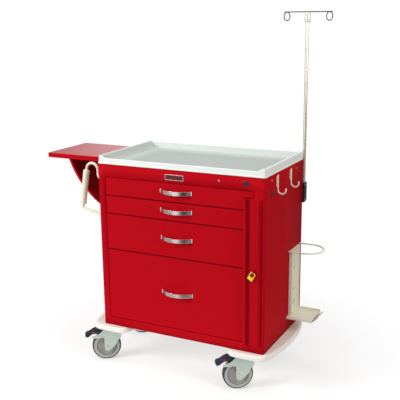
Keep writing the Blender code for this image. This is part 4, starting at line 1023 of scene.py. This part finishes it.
def build_oxygen_bracket():
    """Folded bracket: a channel on the wall, a top plate, a lipped foot tray and an embossed chevron."""
    wall, sheet, face = BRACKET_WALL, BRACKET_SHEET, BRACKET_FACE
    front, back, rise = 0.2690, 0.3772, wall + 0.0140
    channel = [(wall, front), (rise, front), (rise, front + sheet), (face, front + sheet),
               (face, back - sheet), (rise - 0.004, back - sheet), (rise - 0.004, back), (wall, back)]
    radii = [0.0022, 0.0008, 0.0008, 0.0010, 0.0010, 0.0008, 0.0008, 0.0022]
    solids = [plate(rounded(channel, radii, 4), 0.2440, 0.5215, "XY", 0.0003, 2)]
    nose = RIGHT + 0.039
    top = rounded([(wall, 0.2654), (nose, 0.2654), (nose, 0.2720), (wall + 0.0105, back), (wall, back)],
                  0.003, 4)
    solids.append(plate(top, 0.5212, 0.5240, "XY", 0.0008, 3))
    elbow, tray_low, tray_high = 0.843, 0.2425, 0.2455
    floor = rect((wall, 0.2480), (elbow, 0.3620), 0.004, 4)
    solids.append(plate(floor, tray_low, tray_high, "XY", 0.0006, 2))
    lip = rounded([(elbow - 0.006, tray_low), (elbow, tray_low), (0.862, 0.2620), (0.860, 0.2640),
                   (elbow - 0.0014, tray_high), (elbow - 0.006, tray_high)], 0.0009, 3)
    solids.append(plate(lip, 0.2480, 0.3300, "XZ", 0.0008, 3))
    solids.append(block((wall, 0.2482, 0.2362), (elbow - 0.004, 0.2506, 0.2440), 0.001, 0.0006, "XZ"))
    solids.append(block((wall, 0.3594, 0.2440), (elbow - 0.006, 0.3618, 0.2560), 0.003, 0.0006, "XZ"))
    chevron = stand([(0.302, 0.468), (0.322, 0.494), (0.342, 0.468)], face, "YZ")
    solids.append(rod(chevron, 0.0022, TO_RIGHT, 10))
    piece("cylinder_bracket", merged(*solids), STONE, "cabinet", ("oxygen_bracket",))


def build_bracket_fittings():
    """A dark slot and two bolts on the bracket's face."""
    slot = rounded([(0.3170, 0.2790), (0.3215, 0.2770), (0.3440, 0.2900), (0.3395, 0.2920)], 0.001, 3)
    piece("bracket_slot", plate(slot, BRACKET_FACE - 0.001, BRACKET_FACE + 0.0002, "YZ", 0.0001, 1), BLACK,
          "cabinet")
    bolts = [domed((BRACKET_FACE, 0.322, z), TO_RIGHT, 0.0044, 0.0022) for z in (0.440, 0.345)]
    piece("bracket_bolts", merged(*bolts), STEEL, "cabinet")


def build_oxygen_ring():
    """Rod ring: two straight arms from the wall and half a circle between them."""
    near, far, start, straight = 0.2618, 0.3930, BRACKET_WALL + 0.0006, 0.750
    loop = arc((0.7860, (near + far) / 2), (far - near) / 2, -90, 90, 40)
    line = np.concatenate([[(start, near), (straight, near)], loop, [(straight, far), (start, far)]])
    piece("cylinder_ring", rod(stand(line, 0.5240, "XY"), 0.0032, UP, 16, dome=False), STONE, "cabinet",
          ("oxygen_ring",))


# ---------------------------------------------------------------- infusion pole
def build_pole():
    """Polished tube, turned collar, and a hook bar of wire with two closed oval eyes."""
    x, y = POLE
    tube = [(0.0052, 0.6960), (0.0064, 0.6968), (0.0067, 0.6984), (0.0067, 1.4285)]
    piece("pole_tube", turned(tube, UP, (x, y, 0.0), 40), CHROME, "iv_pole", ("iv_pole",))
    collar = [(0.0085, 1.4286), (0.0100, 1.4290), (0.0110, 1.4306), (0.0110, 1.4330), (0.0104, 1.4336),
              (0.0104, 1.4346), (0.0110, 1.4352), (0.0110, 1.4630), (0.0104, 1.4650), (0.0092, 1.4662),
              (0.0, 1.4664)]
    piece("pole_collar", turned(collar, UP, (x, y, 0.0), 40), CHROME, "iv_pole", ("iv_pole_collar",))
    wire, bar_height = 0.0023, 1.4690
    bar = rod([(at, y, bar_height) for at in (0.6262, 0.70, 0.75, 0.8271)], wire, UP, 14)
    solids = [bar]
    angles = np.linspace(0, 2 * math.pi, 49)[:-1]
    for centre in (0.6378, 0.8142):
        eye = np.stack([centre + 0.0125 * np.cos(angles), 1.4518 + 0.0165 * np.sin(angles)], 1)
        solids.append(rod(stand(eye, y, "XZ"), wire * 0.95, TO_BACK, 12, closed=True))
    piece("hook_bar_look", merged(*solids), WIRE, "iv_pole", ("iv_hook_bar",))


def build_clamp():
    """Moulded clamp block with pale dots, and a six-lobed knob: r(a) = r0 + c * cos(6 a)."""
    y, left, right, knob_height = POLE[1], 0.7060, 0.7345, 0.7365
    plan = rect((left, DEPTH + 0.0003), (right, 0.4526), 0.003, 4)
    heights = [(0.0030, 0.6940), (0.0006, 0.6985), (0.0, 0.7010), (0.0, 0.7740), (0.0010, 0.7780),
               (0.0030, 0.7790)]
    piece("clamp_body", carried(plan, heights), BLACK, "cabinet", ("iv_clamp_block",))
    dots = [turned([(0.0024, -0.0004), (0.0024, 0.0006), (0.0018, 0.0009), (0.0, 0.0009)], TO_RIGHT,
                   (right, 0.4310, z), 16) for z in (0.7040, 0.7700)]
    piece("clamp_dots", merged(*dots), PALE, "cabinet")
    angles = np.arange(60) * 2 * math.pi / 60
    lobes = 0.0128 + 0.0009 * np.cos(6 * angles)
    star = np.stack([y + lobes * np.cos(angles), knob_height + lobes * np.sin(angles)], 1)
    knob = carried(star, [(0.0028, 0.6772), (0.0008, 0.6780), (0.0, 0.6800), (0.0, 0.6885),
                          (0.0020, 0.6905), (0.0045, 0.6912)], "YZ")
    stem = turned([(0.0045, 0.0004), (0.0045, 0.0160)], TO_LEFT, (left, y, knob_height), 20)
    piece("clamp_knob_look", merged(knob, stem), BLACK, "clamp_knob", ("clamp_knob",))


build_wrap()
build_opening()
build_fittings()
build_nameplate()
build_drawers()
build_bar_channel()
build_piano_hinge()
build_hasp_and_seal()
build_tray()
build_base()
build_casters()
build_shelf_pan()
build_shelf_hinge()
build_shelf_support()
build_push_handle()
build_hooks()
build_oxygen_bracket()
build_bracket_fittings()
build_oxygen_ring()
build_pole()
build_clamp()
